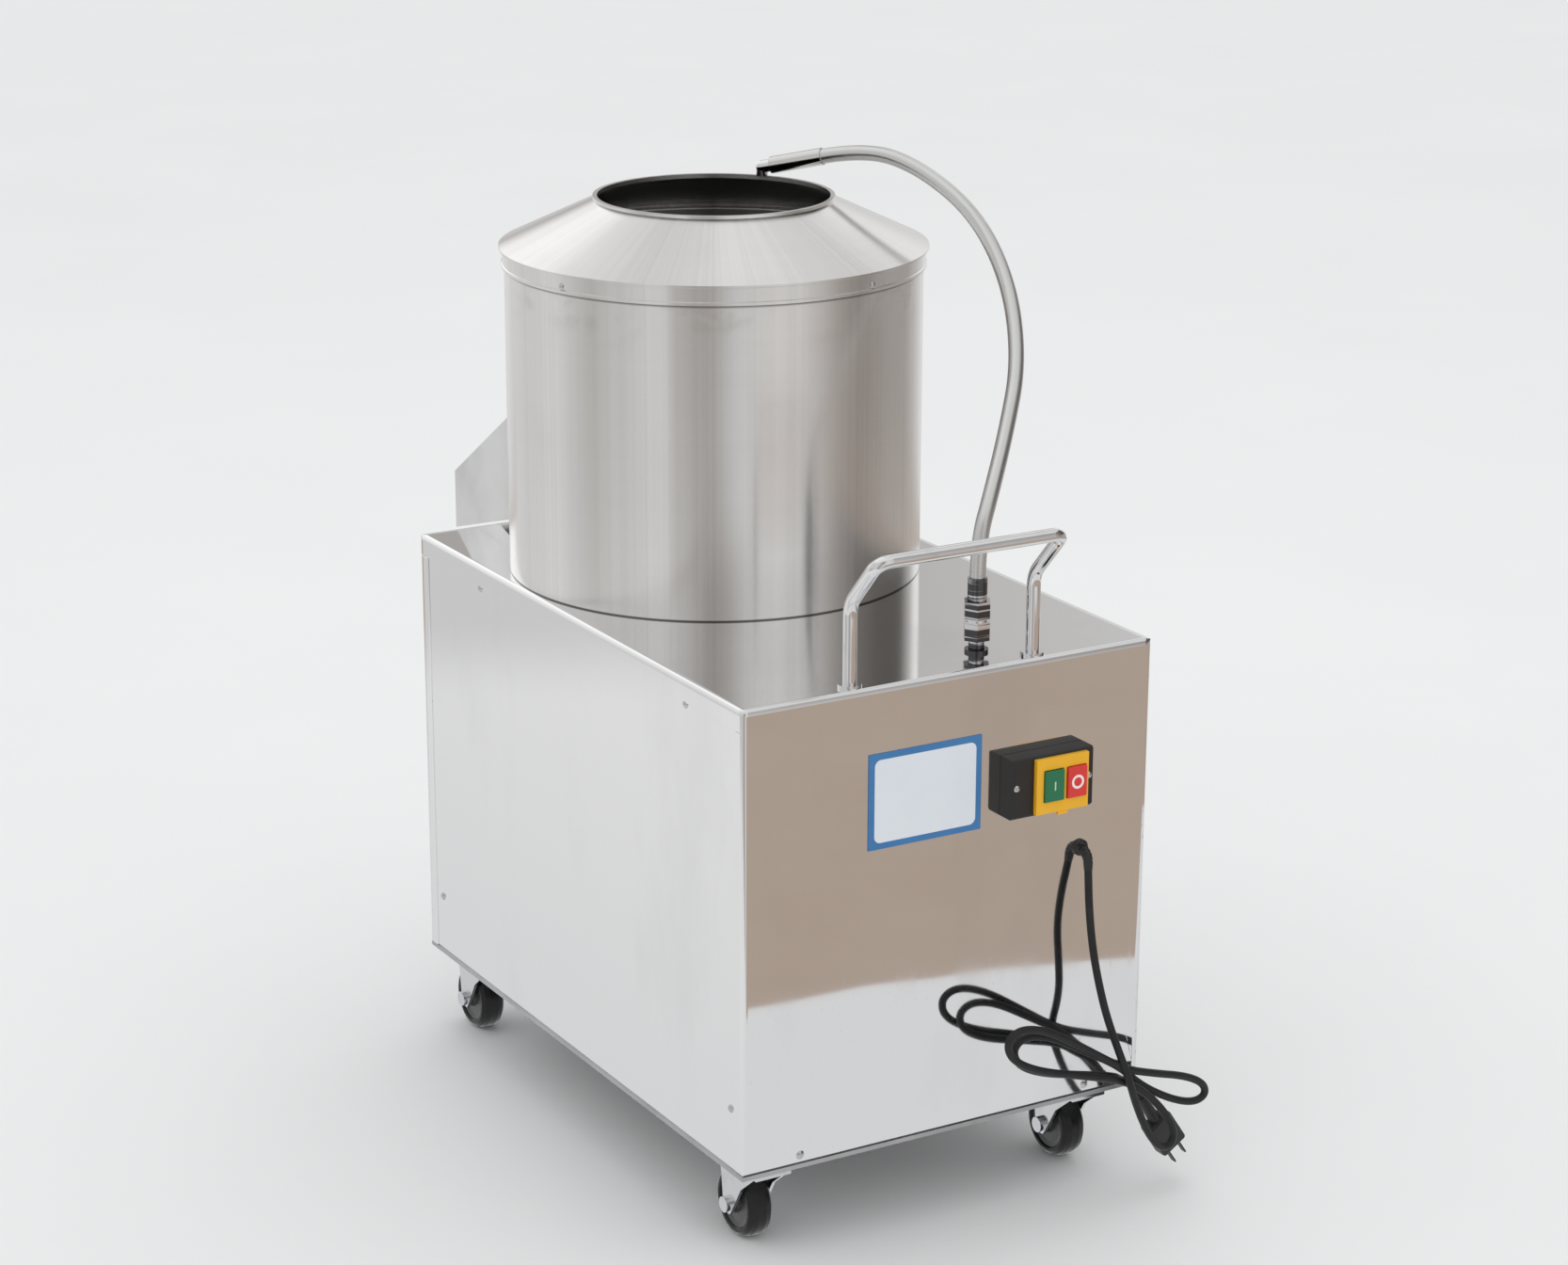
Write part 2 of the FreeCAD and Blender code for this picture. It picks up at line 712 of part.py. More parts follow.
def make_chute():
    """Discharge chute: sloping floor between two side walls, fitted to the drum."""
    sheet_c = cell("chute_sheet")
    width = cell("chute_width")
    end = cell("cabinet_depth") + cell("chute_reach")
    start = cell("drum_from_front") + 120
    tip = chute_side(end) + cell("chute_lip")
    rise = tip + (end - start) * cell("chute_top_slope")
    walls = [(start, chute_side(start)), (end, chute_side(end)), (end, tip), (start, rise)]
    floor = [(start, chute_side(start)), (end, chute_side(end)),
             (end, chute_side(end) + sheet_c), (start, chute_side(start) + sheet_c)]
    pieces = []
    for points, length, x in ((walls, sheet_c, drum_x - width / 2),
                              (walls, sheet_c, drum_x + width / 2 - sheet_c),
                              (floor, width - 1, drum_x + 0.5 - width / 2)):
        body = doc.addObject("PartDesign::Body", "chute_sheet_body")
        pad(body, "YZ", points, length)
        place(body, x, front_y, 0)
        pieces.append(body)
    bore = rod(cell("drum_outer") + cell("running_gap"), 600, drum_x, drum_y, top_z - 100)
    slot_z = hinge_z - cell("latch_drop")
    slot = box(12, 8, 52, drum_x + width / 2 - 8, latch_y - 2, slot_z - 38)
    keep(cut(fuse(pieces), [bore, slot]), "discharge_chute")


opening_top = top_z + cell("sill_rise") + cell("opening_height")
hinge_y = drum_y + cell("drum_outer") + cell("hinge_reach")
hinge_z = opening_top + cell("hinge_rise")
latch_y = hinge_y - 5


def make_door():
    """Curved door in the drum's opening, hung from a pin above it, and its turning latch."""
    play = cell("door_play")
    outer = cell("drum_outer")
    width = cell("opening_width") - play * 2
    low = top_z + cell("sill_rise") + play
    height = cell("opening_height") - play * 2
    limit = box(width, outer * 2, height, drum_x - width / 2, drum_y, low)
    curved = cut(rod(outer, height, drum_x, drum_y, low),
                 [rod(lining_in + 0.5, height * 3, drum_x, drum_y, low - height)])
    pieces = [common(curved, limit)]
    pin = cell("hinge_pin")
    for x in (15, -23):
        arm = box(8, 11, hinge_z - opening_top + 18, drum_x + x, hinge_y - 7, opening_top - 18)
        root = box(8, 14, 14, drum_x + x, hinge_y - 12, opening_top - play - 16)
        eye = rod(pin + 3.5, 8, drum_x + x, hinge_y, hinge_z, "x")
        pieces.append(cut(fuse([arm, root, eye]), [rod(outer - 2, 200, drum_x, drum_y, top_z)]))
    boss = rod(7, 22, drum_x + cell("latch_offset"), latch_y - 22.3, hinge_z - cell("latch_drop"), "y")
    pieces.append(cut(boss, [rod(outer - 3, 400, drum_x, drum_y, top_z)]))
    pin_hole = rod(pin + cell("running_gap"), 80, drum_x - 40, hinge_y, hinge_z, "x")
    keep(cut(fuse(pieces), [pin_hole]), "chute_door")

    block = box(28, 16, 15, drum_x - 14, hinge_y - 10, hinge_z - 5)
    knuckle = rod(pin + 3.5, 28, drum_x - 14, hinge_y, hinge_z, "x")
    drum_room = rod(outer + cell("running_gap"), 200, drum_x, drum_y, opening_top - 60)
    shaped = cut(fuse([block, knuckle]), [drum_room,
                                          rod(pin, 80, drum_x - 40, hinge_y, hinge_z, "x")])
    keep(shaped, "hinge_bracket")
    keep(rod(pin, 56, drum_x - 28, hinge_y, hinge_z, "x"), "hinge_pin")

    pivot_z = hinge_z - cell("latch_drop")
    arm_x = drum_x + cell("latch_offset")
    lever = box(12, 4, cell("latch_arm") + 6, arm_x - 6, latch_y, pivot_z - cell("latch_arm"))
    knob = rod(6, 20, arm_x, latch_y + 4, pivot_z - cell("latch_arm") * 0.6, "y")
    washer = rod(8, 2, arm_x, latch_y + 4, pivot_z, "y")
    keep(fuse([lever, knob, washer]), "door_latch")


def bent_wire(points, share=0.45, fixed=None):
    """Straight runs joined by tangent arcs; returns the wire, the radii and the length."""
    points = [V(*p) for p in points]
    edges = []
    radii = []
    at = points[0]
    for i in range(1, len(points) - 1):
        back = points[i - 1] - points[i]
        ahead = points[i + 1] - points[i]
        turn = math.pi - back.getAngle(ahead)
        shorter = min(back.Length, ahead.Length)
        radius = share * shorter / math.tan(turn / 2)
        if fixed and fixed[i - 1]:
            radius = min(radius, fixed[i - 1])
        reach = radius * math.tan(turn / 2)
        back.normalize()
        ahead.normalize()
        enter = points[i] + back * reach
        leave = points[i] + ahead * reach
        inward = back + ahead
        inward.normalize()
        centre = points[i] + inward * (radius / math.cos(turn / 2))
        towards = points[i] - centre
        towards.normalize()
        edges.append(Part.LineSegment(at, enter).toShape())
        edges.append(Part.Arc(enter, centre + towards * radius, leave).toShape())
        radii.append(radius)
        at = leave
    edges.append(Part.LineSegment(at, points[-1]).toShape())
    wire = Part.Wire(edges)
    return wire, radii, wire.Length


def tube_along(points, radius, name, share=0.45, fixed=None):
    """A round tube along bent_wire; prints its radii and compares volume with length."""
    wire, radii, length = bent_wire(points, share, fixed)
    start = V(*points[0])
    way = V(*points[1]) - start
    circle = Part.Wire([Part.Circle(start, way, radius).toShape()])
    solid = wire.makePipeShell([circle], True, False)
    expected = math.pi * radius ** 2 * length
    print(name, "length %.1f" % length, "least radius %.1f" % min(radii),
          "volume ratio %.4f" % (solid.Volume / expected))
    print(name, "radii", [round(r, 1) for r in radii])
    return solid, wire


def make_handle():
    """Bent tube handle on two feet with flange rings."""
    foot_y = val(front_y + cell("handle_foot"))
    bar_y = foot_y - val(cell("handle_lean"))
    low = val(top_z)
    knee = low + val(cell("handle_leg"))
    high = knee + val(cell("handle_lift"))
    left = -val(cell("handle_left"))
    right = val(cell("handle_right"))
    points = [(left, foot_y, low), (left, foot_y, knee), (left, bar_y, high),
              (right, bar_y, high), (right, foot_y, knee), (right, foot_y, low)]
    solid, _ = tube_along(points, val(cell("handle_tube")), "push_handle", 0.45,
                          [26, 12, 12, 26])
    for x in (left, right):
        solid = solid.fuse(Part.makeCylinder(10.5, 3, V(x, foot_y, low)))
    ready(solid.removeSplitter(), "push_handle")


def make_switch():
    """Switch box on the front panel: housing, raised cover, two buttons, two springs."""
    left = cell("switch_left") - half_width
    low = base_z + cell("switch_bottom")
    wide = cell("switch_width")
    tall = cell("switch_height")
    deep = cell("switch_depth")
    wall = cell("switch_wall")
    face_y = front_y - deep
    raise_ = cell("cover_raise")
    cover_x = left + cell("cover_left")
    cover_z = low + (tall - cell("cover_height")) / 2
    play = cell("button_play")
    bw = cell("button_width")
    bh = cell("button_height")
    green_x = cover_x + (cell("cover_width") - bw * 2 - 4) * 0.72
    red_x = green_x + bw + 4
    button_z = cover_z + (cell("cover_height") - bh) / 2
    front = face_y - raise_
    windows = [box(bw + play * 2, 60, bh + play * 2, x - play, front - 20, button_z - play)
               for x in (green_x, red_x)]
    shell = box(wide, deep, tall, left, face_y, low)
    inside = box(wide - wall * 2, deep, tall - wall * 2, left + wall, face_y + wall, low + wall)
    keep(cut(shell, [inside, box(bw * 2 + 4 + play * 2, wall * 3, bh + play * 2, green_x - play,
                                 face_y - wall, button_z - play)]), "switch_housing")
    cover = box(cell("cover_width"), raise_, cell("cover_height"), cover_x, front, cover_z)
    tab = box(10, raise_ - 2, 4, green_x + bw - 4, front + 1, cover_z - 3.5)
    keep(cut(fuse([cover, tab]), windows), "switch_cover")
    depth = cell("button_depth")
    for name, spring, x in (("start_button", "start_spring", green_x),
                            ("stop_button", "stop_spring", red_x)):
        keep(box(bw, depth, bh, x, front - cell("button_raise"), button_z), name)
        spring_y = front - cell("button_raise") + depth + 0.3
        spring_len = front_y - spring_y - 0.3
        at = (x + bw / 2, spring_y, button_z + bh / 2)
        keep(cut(rod(5, spring_len, *at, "y"), [rod(4, spring_len * 3, at[0], spring_y - 20,
                                                    at[2], "y")]), spring)


def make_labels():
    """Bare rating plate on the front panel."""
    keep(box(cell("plate_width"), 1, cell("plate_height"), cell("plate_left") - half_width,
             front_y - 1, base_z + cell("plate_bottom")), "rating_plate")


def make_gland():
    """Cord gland: flange and tapering snout outside, threaded neck and nut inside."""
    bore = cell("cord_width") / 2
    neck = bore + 3
    turned("cable_gland", [(bore, -10), (bore + 6, -10), (bore + 6, -4), (neck, -4), (neck, 0),
                           (bore + 4, 0), (bore + 4, 2), (bore + 2.4, 3), (bore + 1.4, 6),
                           (bore, 6)],
           cell("gland_left") - half_width, front_y, (V(1, 0, 0), 90),
           base_z + cell("gland_height"))


def screw_head(x, y, z, way, size=4.2, shank_length=6.0):
    """A round-headed sheet screw: a domed head and a short shank, along way."""
    head = Part.makeSphere(size * 1.15, V(0, 0, -size * 0.62), V(0, 0, 1), 0, 90, 360)
    keep_box = Part.makeBox(40, 40, 20, V(-20, -20, 0))
    head = head.common(keep_box)
    shank = Part.makeCylinder(1.8, shank_length, V(0, 0, -shank_length))
    screw = head.fuse(shank)
    screw.Placement = FreeCAD.Placement(V(x, y, z), FreeCAD.Rotation(V(0, 0, 1), V(*way)))
    return screw


# Sheet screws: distances from the cabinet's front and back, from its middle, up from its
# bottom, and compass angles round the hood's skirt.
SIDE_TOP_SCREWS = (98.6, 127.4)
SIDE_FOOT_SCREWS = (22.0, 27.5)
SIDE_FOOT_RISE = 60
FRONT_SCREW_SIDE = 148
FRONT_SCREW_RISE = 12.4
BACK_SCREW_SIDE = 185
BACK_SCREW_RISES = (14.0, 330.0)
SKIRT_SCREW_ANGLES = (-163, -73, 17, 107)


def make_screws():
    """All sheet screws: side panels, front and back panels, hood skirt, switch box."""
    screws = []
    hw = val(half_width)
    front = val(front_y)
    rear = val(back_y)
    base = val(base_z)
    top = val(top_z)
    depth = val(cell("cabinet_depth"))
    fold_mid = top - val(cell("top_fold")) / 2 - 11
    sheet_in = val(sheet_t)
    for side in (-1, 1):
        for along in (SIDE_TOP_SCREWS[0], depth - SIDE_TOP_SCREWS[1]):
            screws.append(screw_head(side * (hw - sheet_in), front + along, fold_mid - 0.5,
                                     (side, 0, 0)))
        for along in (SIDE_FOOT_SCREWS[0], depth - SIDE_FOOT_SCREWS[1]):
            screws.append(screw_head(side * (hw - sheet_in), front + along, base + SIDE_FOOT_RISE,
                                     (side, 0, 0)))
        screws.append(screw_head(side * FRONT_SCREW_SIDE, front, base + FRONT_SCREW_RISE,
                                 (0, -1, 0)))
        for up in BACK_SCREW_RISES:
            screws.append(screw_head(side * BACK_SCREW_SIDE, rear, base + up, (0, 1, 0)))
    skirt = val(cell("drum_outer")) + 0.4 + val(cell("hood_sheet"))
    skirt_z = top + val(cell("hood_skirt_low")) + 6
    for angle in SKIRT_SCREW_ANGLES:
        turn = math.radians(angle)
        way = (math.cos(turn), math.sin(turn), 0)
        x = val(drum_x) + skirt * way[0]
        y = val(drum_y) + skirt * way[1]
        screws.append(screw_head(x, y, skirt_z, way, 3.4, 3.2))
    face = front - val(cell("switch_depth"))
    left = val(cell("switch_left")) - hw
    mid_z = base + val(cell("switch_bottom")) + val(cell("switch_height")) / 2 + 1
    for x in (left + 6, left + val(cell("switch_width")) - 4.2):
        screws.append(screw_head(x, face, mid_z, (0, -1, 0), 3.2))
    ready(Part.makeCompound(screws), "screws")


inlet_x = cell("inlet_left") - half_width
inlet_y = front_y + cell("inlet_back")

# Route of the hose, hand-chosen, from the lower ferrule to the spray tube.
HOSE_ROUTE = [(53, -299.5, 573.5), (53, -299.5, 606), (73, -287, 641), (112, -250, 682),
              (152, -209, 733), (177, -154, 792), (180, -93, 844), (164, -22, 877),
              (141.5, 31.7, 887.0), (114.8, 66.5, 877.2)]
SPRAY_END = (80.2, 111.5, 864.3)


def hexagon(radius, low, high, x, y):
    """A hexagonal nut blank."""
    corners = [V(x + radius * math.cos(math.radians(60 * i)),
                 y + radius * math.sin(math.radians(60 * i)), low) for i in range(7)]
    return Part.Face(Part.makePolygon(corners)).extrude(V(0, 0, high - low))


def make_water():
    """Water inlet on the top plate: nipple and two nuts, hose, ferrules and spray elbow."""
    x = val(inlet_x)
    y = val(inlet_y)
    low = val(top_z)
    inlet = Part.makeCylinder(7, 11, V(x, y, low))
    inlet = inlet.fuse(Part.makeCylinder(10.5, 2.5, V(x, y, low)))
    inlet = inlet.fuse(hexagon(12.5, low + 11, low + 28, x, y))
    inlet = inlet.fuse(Part.makeCylinder(9, 2, V(x, y, low + 28)))
    inlet = inlet.fuse(hexagon(12.5, low + 30, low + 46, x, y))
    inlet = inlet.cut(Part.makeCylinder(4, 60, V(x, y, low - 1)))
    ready(inlet, "water_fitting")
    radius = val(cell("hose_width")) / 2
    route = [(x, y, val(top_z) + 66)] + HOSE_ROUTE[1:]
    solid, wire = tube_along(route, radius, "braided_hose")
    ready(solid, "braided_hose")
    lower = Part.makeCylinder(radius + 1.6, 20, V(x, y, low + 46))
    end = V(*HOSE_ROUTE[-1])
    way = V(*SPRAY_END) - end
    upper = Part.makeCylinder(radius + 1, way.Length - 6, end, way)
    ready(Part.makeCompound([lower, upper]), "hose_ferrules")
    way.normalize()
    joint = V(*SPRAY_END) - way * 6
    elbow = Part.makeCylinder(6, 10, joint, way)
    knee = joint + way * 10
    elbow = elbow.fuse(Part.makeSphere(6, knee))
    rim_z = val(top_z + cell("mouth_height"))
    elbow = elbow.fuse(Part.makeCylinder(5.5, knee.z - rim_z, V(knee.x, knee.y, rim_z)))
    ready(elbow, "spray_elbow")


# Free stretch of the power cord, hand-chosen: x, distance in front of the panel, height.
CORD_ROUTE = [(135.8, -2, 326.4), (135.8, 12.7, 326.4), (134.8, 15.8, 306), (132.5, 21.5, 278),
              (133, 27.5, 243), (138.5, 31, 208), (145, 38, 172)]
KNOT = (152.0, 126.0)
KNOT_LEAD = 20.0


def hank_points():
    """The tied hank: four lobes out of one knot, each on its own depth, then the tail."""
    lobes = [(-56.0, 90.0, 13.0, -1, 0.0, -5.0, 62.0, 53.0),
             (154.5, 130.0, 18.5, 1, -5.0, 5.0, 53.0, 53.0),
             (-24.0, 100.0, 12.5, 1, 5.0, 5.0, 53.0, 43.5),
             (157.5, 114.0, 17.0, -1, 5.0, -5.0, 43.5, 43.5)]
    points = []
    for angle, reach, half, side, side_in, side_out, depth_in, depth_out in lobes:
        turn = math.radians(angle)
        along = (math.cos(turn), math.sin(turn))
        across = (-along[1], along[0])
        up = 1.0 if along[0] > 0 else -1.0
        shape = [(0.0, up * side_in), (0.34, side * half * 0.62), (0.72, side * half),
                 (1.0, side * half), (1.0, -side * half), (0.72, -side * half),
                 (0.34, -side * half * 0.62)]
        for number, (share, offset) in enumerate(shape):
            depth = depth_in + (depth_out - depth_in) * min(1.0, number / 6.0)
            points.append((KNOT[0] + along[0] * reach * share + across[0] * offset, depth,
                           KNOT[1] + along[1] * reach * share + across[1] * offset))
    return points


TAIL = [(149.8, 42, 121.0), (163, 32, 111.5), (179, 30, 102), (189, 30, 87)]
PLUG_WAY = (0.555, 0.0, -0.832)


def self_gap(wire, radius, skip):
    """Least gap between parts of a tube that lie further apart along it than skip."""
    count = int(wire.Length / 2.0)
    samples = wire.discretize(count)
    step = wire.Length / (count - 1)
    jump = int(skip / step)
    least = 1e9
    for i in range(0, count - jump):
        for j in range(i + jump, count):
            apart = samples[i].distanceToPoint(samples[j])
            if apart < least:
                least = apart
                where = samples[i]
    return least - radius * 2, where


def make_cord():
    """Power cord from the gland, its hank and its plug."""
    front = val(front_y)
    radius = val(cell("cord_width")) / 2
    free = [(x, front - out, z) for x, out, z in CORD_ROUTE]
    hank = [(x, front - out, z) for x, out, z in hank_points() + TAIL]
    first = V(*hank[1]) - V(*hank[0])
    first.normalize()
    free += [tuple(V(*hank[0]) - first * KNOT_LEAD), hank[0]]
    solid, wire = tube_along(free, radius, "power_cord")
    ready(solid, "power_cord")
    solid, wire = tube_along(hank, radius, "cord_hank")
    gap, where = self_gap(wire, radius, 30.0)
    print("cord_hank least self gap %.2f" % gap, "at", where)
    ready(solid, "cord_hank")
    start = V(*hank[-1])
    way = V(*PLUG_WAY)
    relief = Part.makeCone(radius + 0.6, radius + 2.6, 30, start, way)
    turn = FreeCAD.Rotation(V(0, 0, 1), way)
    block = Part.makeBox(28, 16, 36, V(-14, -8, 30))
    block = block.makeFillet(3, block.Edges)
    block.Placement = FreeCAD.Placement(start, turn)
    plug = relief.fuse(block)
    for side in (-6.5, 6.5):
        blade = Part.makeBox(1.6, 6.4, 17, V(side - 0.8, -3.2, 65))
        blade.Placement = FreeCAD.Placement(start, turn)
        plug = plug.fuse(blade)
    ready(plug, "plug")


def make_castors():
    """Four swivel castors: plates with kingpins on the frame, forks, tyres and hubs."""
    centres = []
    plates = []
    trail = cell("castor_trail")
    wheel = cell("wheel_round")
    half_tyre = cell("tyre_width") / 2
    axle = cell("axle_round")
    crown_z = base_z - 12
    for name, side, end in (("front_left", -1, -1), ("front_right", 1, -1),
                            ("back_left", -1, 1), ("back_right", 1, 1)):
        x = (half_width - cell("castor_side")) * side
        y = front_y + cell("castor_end") if end < 0 else back_y - cell("castor_end")
        centres.append((x, y))
        plates.append(fuse([box(66, 66, 2.5, x - 33, y - 33, base_z - 2.5),
                            rod(24, 6, x, y, base_z - 8.5),
                            rod(5.5, 12, x, y, crown_z - 8),
                            rod(9, 3.5, x, y, crown_z - 8)]))
        body = doc.addObject("PartDesign::Body", "leg_" + name)
        leg_out = half_tyre + 5.5
        rise = crown_z + 3 - wheel
        pad(body, "YZ", [(0, rise), (66, rise), (61, 26), (57.5, -4), (54, -9), (46, -9),
                         (42.5, -4), (27, 22)], 3)
        place(body, x - leg_out, y + trail - 50, wheel)
        other = doc.addObject("PartDesign::Body", "other_leg_" + name)
        pad(other, "YZ", [(0, rise), (66, rise), (61, 26), (57.5, -4), (54, -9), (46, -9),
                          (42.5, -4), (27, 22)], 3)
        place(other, x + leg_out - 3, y + trail - 50, wheel)
        crown = cut(box(leg_out * 2, 66, 3, x - leg_out, y + trail - 50, crown_z),
                    [rod(5.6, 20, x, y, crown_z - 8)])
        race = cut(rod(22, 3, x, y, crown_z), [rod(5.6, 20, x, y, crown_z - 8)])
        holes = rod(axle, 80, x - 40, y + trail, wheel, "x")
        fork = cut(fuse([body, other, crown, race]), [holes])
        shank = rod(axle, leg_out * 2, x - leg_out, y + trail, wheel, "x")
        head = rod(7.2, 4.5, x - leg_out - 4.5, y + trail, wheel, "x")
        nut = rod(7.2, 4.5, x + leg_out, y + trail, wheel, "x")
        keep(group([fork, fuse([shank, head, nut])]), "castor_fork_" + name)
        hub = cell("hub_round")
        bore = axle + cell("running_gap")
        sideways = (V(0, 1, 0), 90)
        turned("castor_tyre_" + name,
               [(hub, 1.5), (hub + 1.5, 0), (wheel - 5, 0), (wheel - 1.4, 3), (wheel, 8),
                (wheel, half_tyre * 2 - 8), (wheel - 1.4, half_tyre * 2 - 3),
                (wheel - 5, half_tyre * 2), (hub + 1.5, half_tyre * 2), (hub, half_tyre * 2 - 1.5)],
               x - half_tyre, y + trail, sideways, wheel)
        turned("castor_hub_" + name,
               [(bore, -1), (9, -1), (10, 2.5), (hub - 4, 3), (hub - 0.05, 2),
                (hub - 0.05, half_tyre * 2 - 2), (hub - 4, half_tyre * 2 - 3),
                (10, half_tyre * 2 - 2.5), (9, half_tyre * 2 + 1), (bore, half_tyre * 2 + 1)],
               x - half_tyre, y + trail, sideways, wheel)
    keep(group(plates), "castor_plates")


make_frame()
make_top_plate()
make_panels()
make_plates()
make_motor()
make_drive_pieces()
make_spindle()
make_pan()
make_disc()
make_drum()
make_chute()
make_door()
make_handle()
make_switch()
make_labels()
make_gland()
make_screws()
make_water()
make_cord()
make_castors()
doc.recompute()

failed = [o.Name + " " + o.Label for o in doc.Objects if "Invalid" in o.State or "Error" in o.State]
for obj in NODES:
    if obj.Shape.isNull() or not obj.Shape.isValid():
        failed.append("shape of " + obj.Label)
if failed:
    raise RuntimeError("not built: " + ", ".join(failed))

os.makedirs("parts", exist_ok=True)
for obj in NODES:
    obj.Shape.exportStep("parts/%s.step" % obj.Label)
    print(obj.Label, len(obj.Shape.Solids), "solids, volume %.0f" % obj.Shape.Volume)
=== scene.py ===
"""Looks of the electric potato peeler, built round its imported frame."""
import json
import math

import bmesh
import bpy
import numpy as np
from mathutils import Matrix, Vector


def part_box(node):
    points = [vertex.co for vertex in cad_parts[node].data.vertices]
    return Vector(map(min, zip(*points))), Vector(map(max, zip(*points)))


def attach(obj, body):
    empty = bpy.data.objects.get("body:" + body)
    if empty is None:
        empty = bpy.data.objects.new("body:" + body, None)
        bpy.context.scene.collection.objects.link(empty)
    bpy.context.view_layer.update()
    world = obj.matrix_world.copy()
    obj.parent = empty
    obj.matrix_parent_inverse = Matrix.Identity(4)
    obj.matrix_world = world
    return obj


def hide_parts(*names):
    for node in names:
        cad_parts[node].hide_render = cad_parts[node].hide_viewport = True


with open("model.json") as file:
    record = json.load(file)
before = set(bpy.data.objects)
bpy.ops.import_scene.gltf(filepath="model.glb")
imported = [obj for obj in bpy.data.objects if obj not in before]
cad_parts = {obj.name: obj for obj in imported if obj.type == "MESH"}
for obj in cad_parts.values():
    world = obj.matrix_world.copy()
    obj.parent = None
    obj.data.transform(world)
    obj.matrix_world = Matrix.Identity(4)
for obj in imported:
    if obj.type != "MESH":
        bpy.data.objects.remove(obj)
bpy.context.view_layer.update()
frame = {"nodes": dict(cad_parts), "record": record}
nodes = frame["nodes"]
scene = bpy.context.scene
body_of = {}
for body_name, members in frame["record"]["behaviour"]["bodies"].items():
    for member in members:
        body_of[member] = body_name
slot_of = {row["node"]: row["material_slot"] for row in frame["record"]["subparts"]}

MM = 0.001
DRUM_X = -0.008
DRUM_Y = 0.053
TOP_Z = 0.5075
SKIRT_Z = TOP_Z + 0.285
FRONT_Y = -0.3445

# Camera, at the photograph's place

eye = bpy.data.objects.new("camera", bpy.data.cameras.new("camera"))
scene.collection.objects.link(eye)
YAW = math.radians(-30.36)
PITCH = math.radians(17.12)
ROLL = math.radians(0.18)
back = Vector((math.sin(YAW) * math.cos(PITCH), -math.cos(YAW) * math.cos(PITCH), math.sin(PITCH)))
right = Vector((math.cos(YAW), math.sin(YAW), 0.0))
up = back.cross(right)
turned_right = right * math.cos(ROLL) + up * math.sin(ROLL)
turned_up = up * math.cos(ROLL) - right * math.sin(ROLL)
axes = Matrix((turned_right, turned_up, back)).transposed().to_4x4()
eye.matrix_world = Matrix.Translation(Vector((-1.5965, -2.7872, 1.4415))) @ axes
eye.data.sensor_width = 36.0
eye.data.lens = 83.13
eye.data.clip_end = 200.0
scene.camera = eye
scene.view_settings.view_transform = "Standard"


# Node materials written as expressions

class Wire:
    """An output socket. Arithmetic on it adds Math nodes; make() adds any other node."""

    def __init__(self, tree, socket):
        self.tree = tree
        self.socket = socket

    def make(self, kind, settings=None, inputs=None, out=0):
        """A node of that kind: its settings first, then values or wires for its sockets."""
        node = self.tree.nodes.new(kind)
        for key, value in (settings or {}).items():
            if key == "stops":
                ramp = node.color_ramp
                for number, (place, colour) in enumerate(value):
                    stop = ramp.elements[number] if number < 2 else ramp.elements.new(place)
                    stop.position = place
                    stop.color = colour
            else:
                setattr(node, key, value)
        for key, value in (inputs or {}).items():
            if isinstance(value, Wire):
                self.tree.links.new(value.socket, node.inputs[key])
            else:
                node.inputs[key].default_value = value
        return Wire(self.tree, node.outputs[out])

    def math(self, operation, first, second=0.0):
        return self.make("ShaderNodeMath", {"operation": operation}, {0: first, 1: second})

    def __add__(self, other):
        return self.math("ADD", self, other)

    __radd__ = __add__

    def __sub__(self, other):
        return self.math("SUBTRACT", self, other)

    def __rsub__(self, other):
        return self.math("SUBTRACT", other, self)

    def __mul__(self, other):
        return self.math("MULTIPLY", self, other)

    __rmul__ = __mul__

    def __truediv__(self, other):
        return self.math("DIVIDE", self, other)

    def __pow__(self, other):
        return self.math("POWER", self, other)

    def rise(self, low, high):
        """0 below low, 1 above high, smooth between."""
        return self.make("ShaderNodeMapRange", {"interpolation_type": "SMOOTHSTEP"},
                         {"Value": self, "From Min": low, "From Max": high})

    def blend(self, low, high):
        """The colour low where this is 0 and high where it is 1."""
        return self.make("ShaderNodeMix", {"data_type": "RGBA", "clamp_factor": True},
                         {0: self, 6: low, 7: high}, 2)

    def noise(self, scale, detail=3.0, rough=0.55, stretch=(1, 1, 1), shift=(0, 0, 0)):
        """Fractal noise on this vector, finer along an axis whose stretch is larger."""
        spread = self.make("ShaderNodeMapping", {}, {"Vector": self, "Scale": stretch,
                                                     "Location": shift})
        return self.make("ShaderNodeTexNoise", {}, {"Vector": spread, "Scale": scale,
                                                    "Detail": detail, "Roughness": rough})

    def cells(self, scale, feature="F1"):
        return self.make("ShaderNodeTexVoronoi", {"feature": feature},
                         {"Vector": self, "Scale": scale})

    def vector(self, operation, first, second=(0, 0, 0)):
        return self.make("ShaderNodeVectorMath", {"operation": operation}, {0: first, 1: second})

    def about(self, x, y):
        """The unit vector out from the upright line at x, y."""
        out = self.vector("MULTIPLY", self.vector("SUBTRACT", self, (x, y, 0)), (1, 1, 0))
        return self.vector("NORMALIZE", out)

    def parts(self):
        """The x, y and z of this vector."""
        split = self.make("ShaderNodeSeparateXYZ", {}, {0: self}, 0).socket.node
        return [Wire(self.tree, socket) for socket in split.outputs]


def rgb(red, green, blue):
    return (red, green, blue, 1.0)


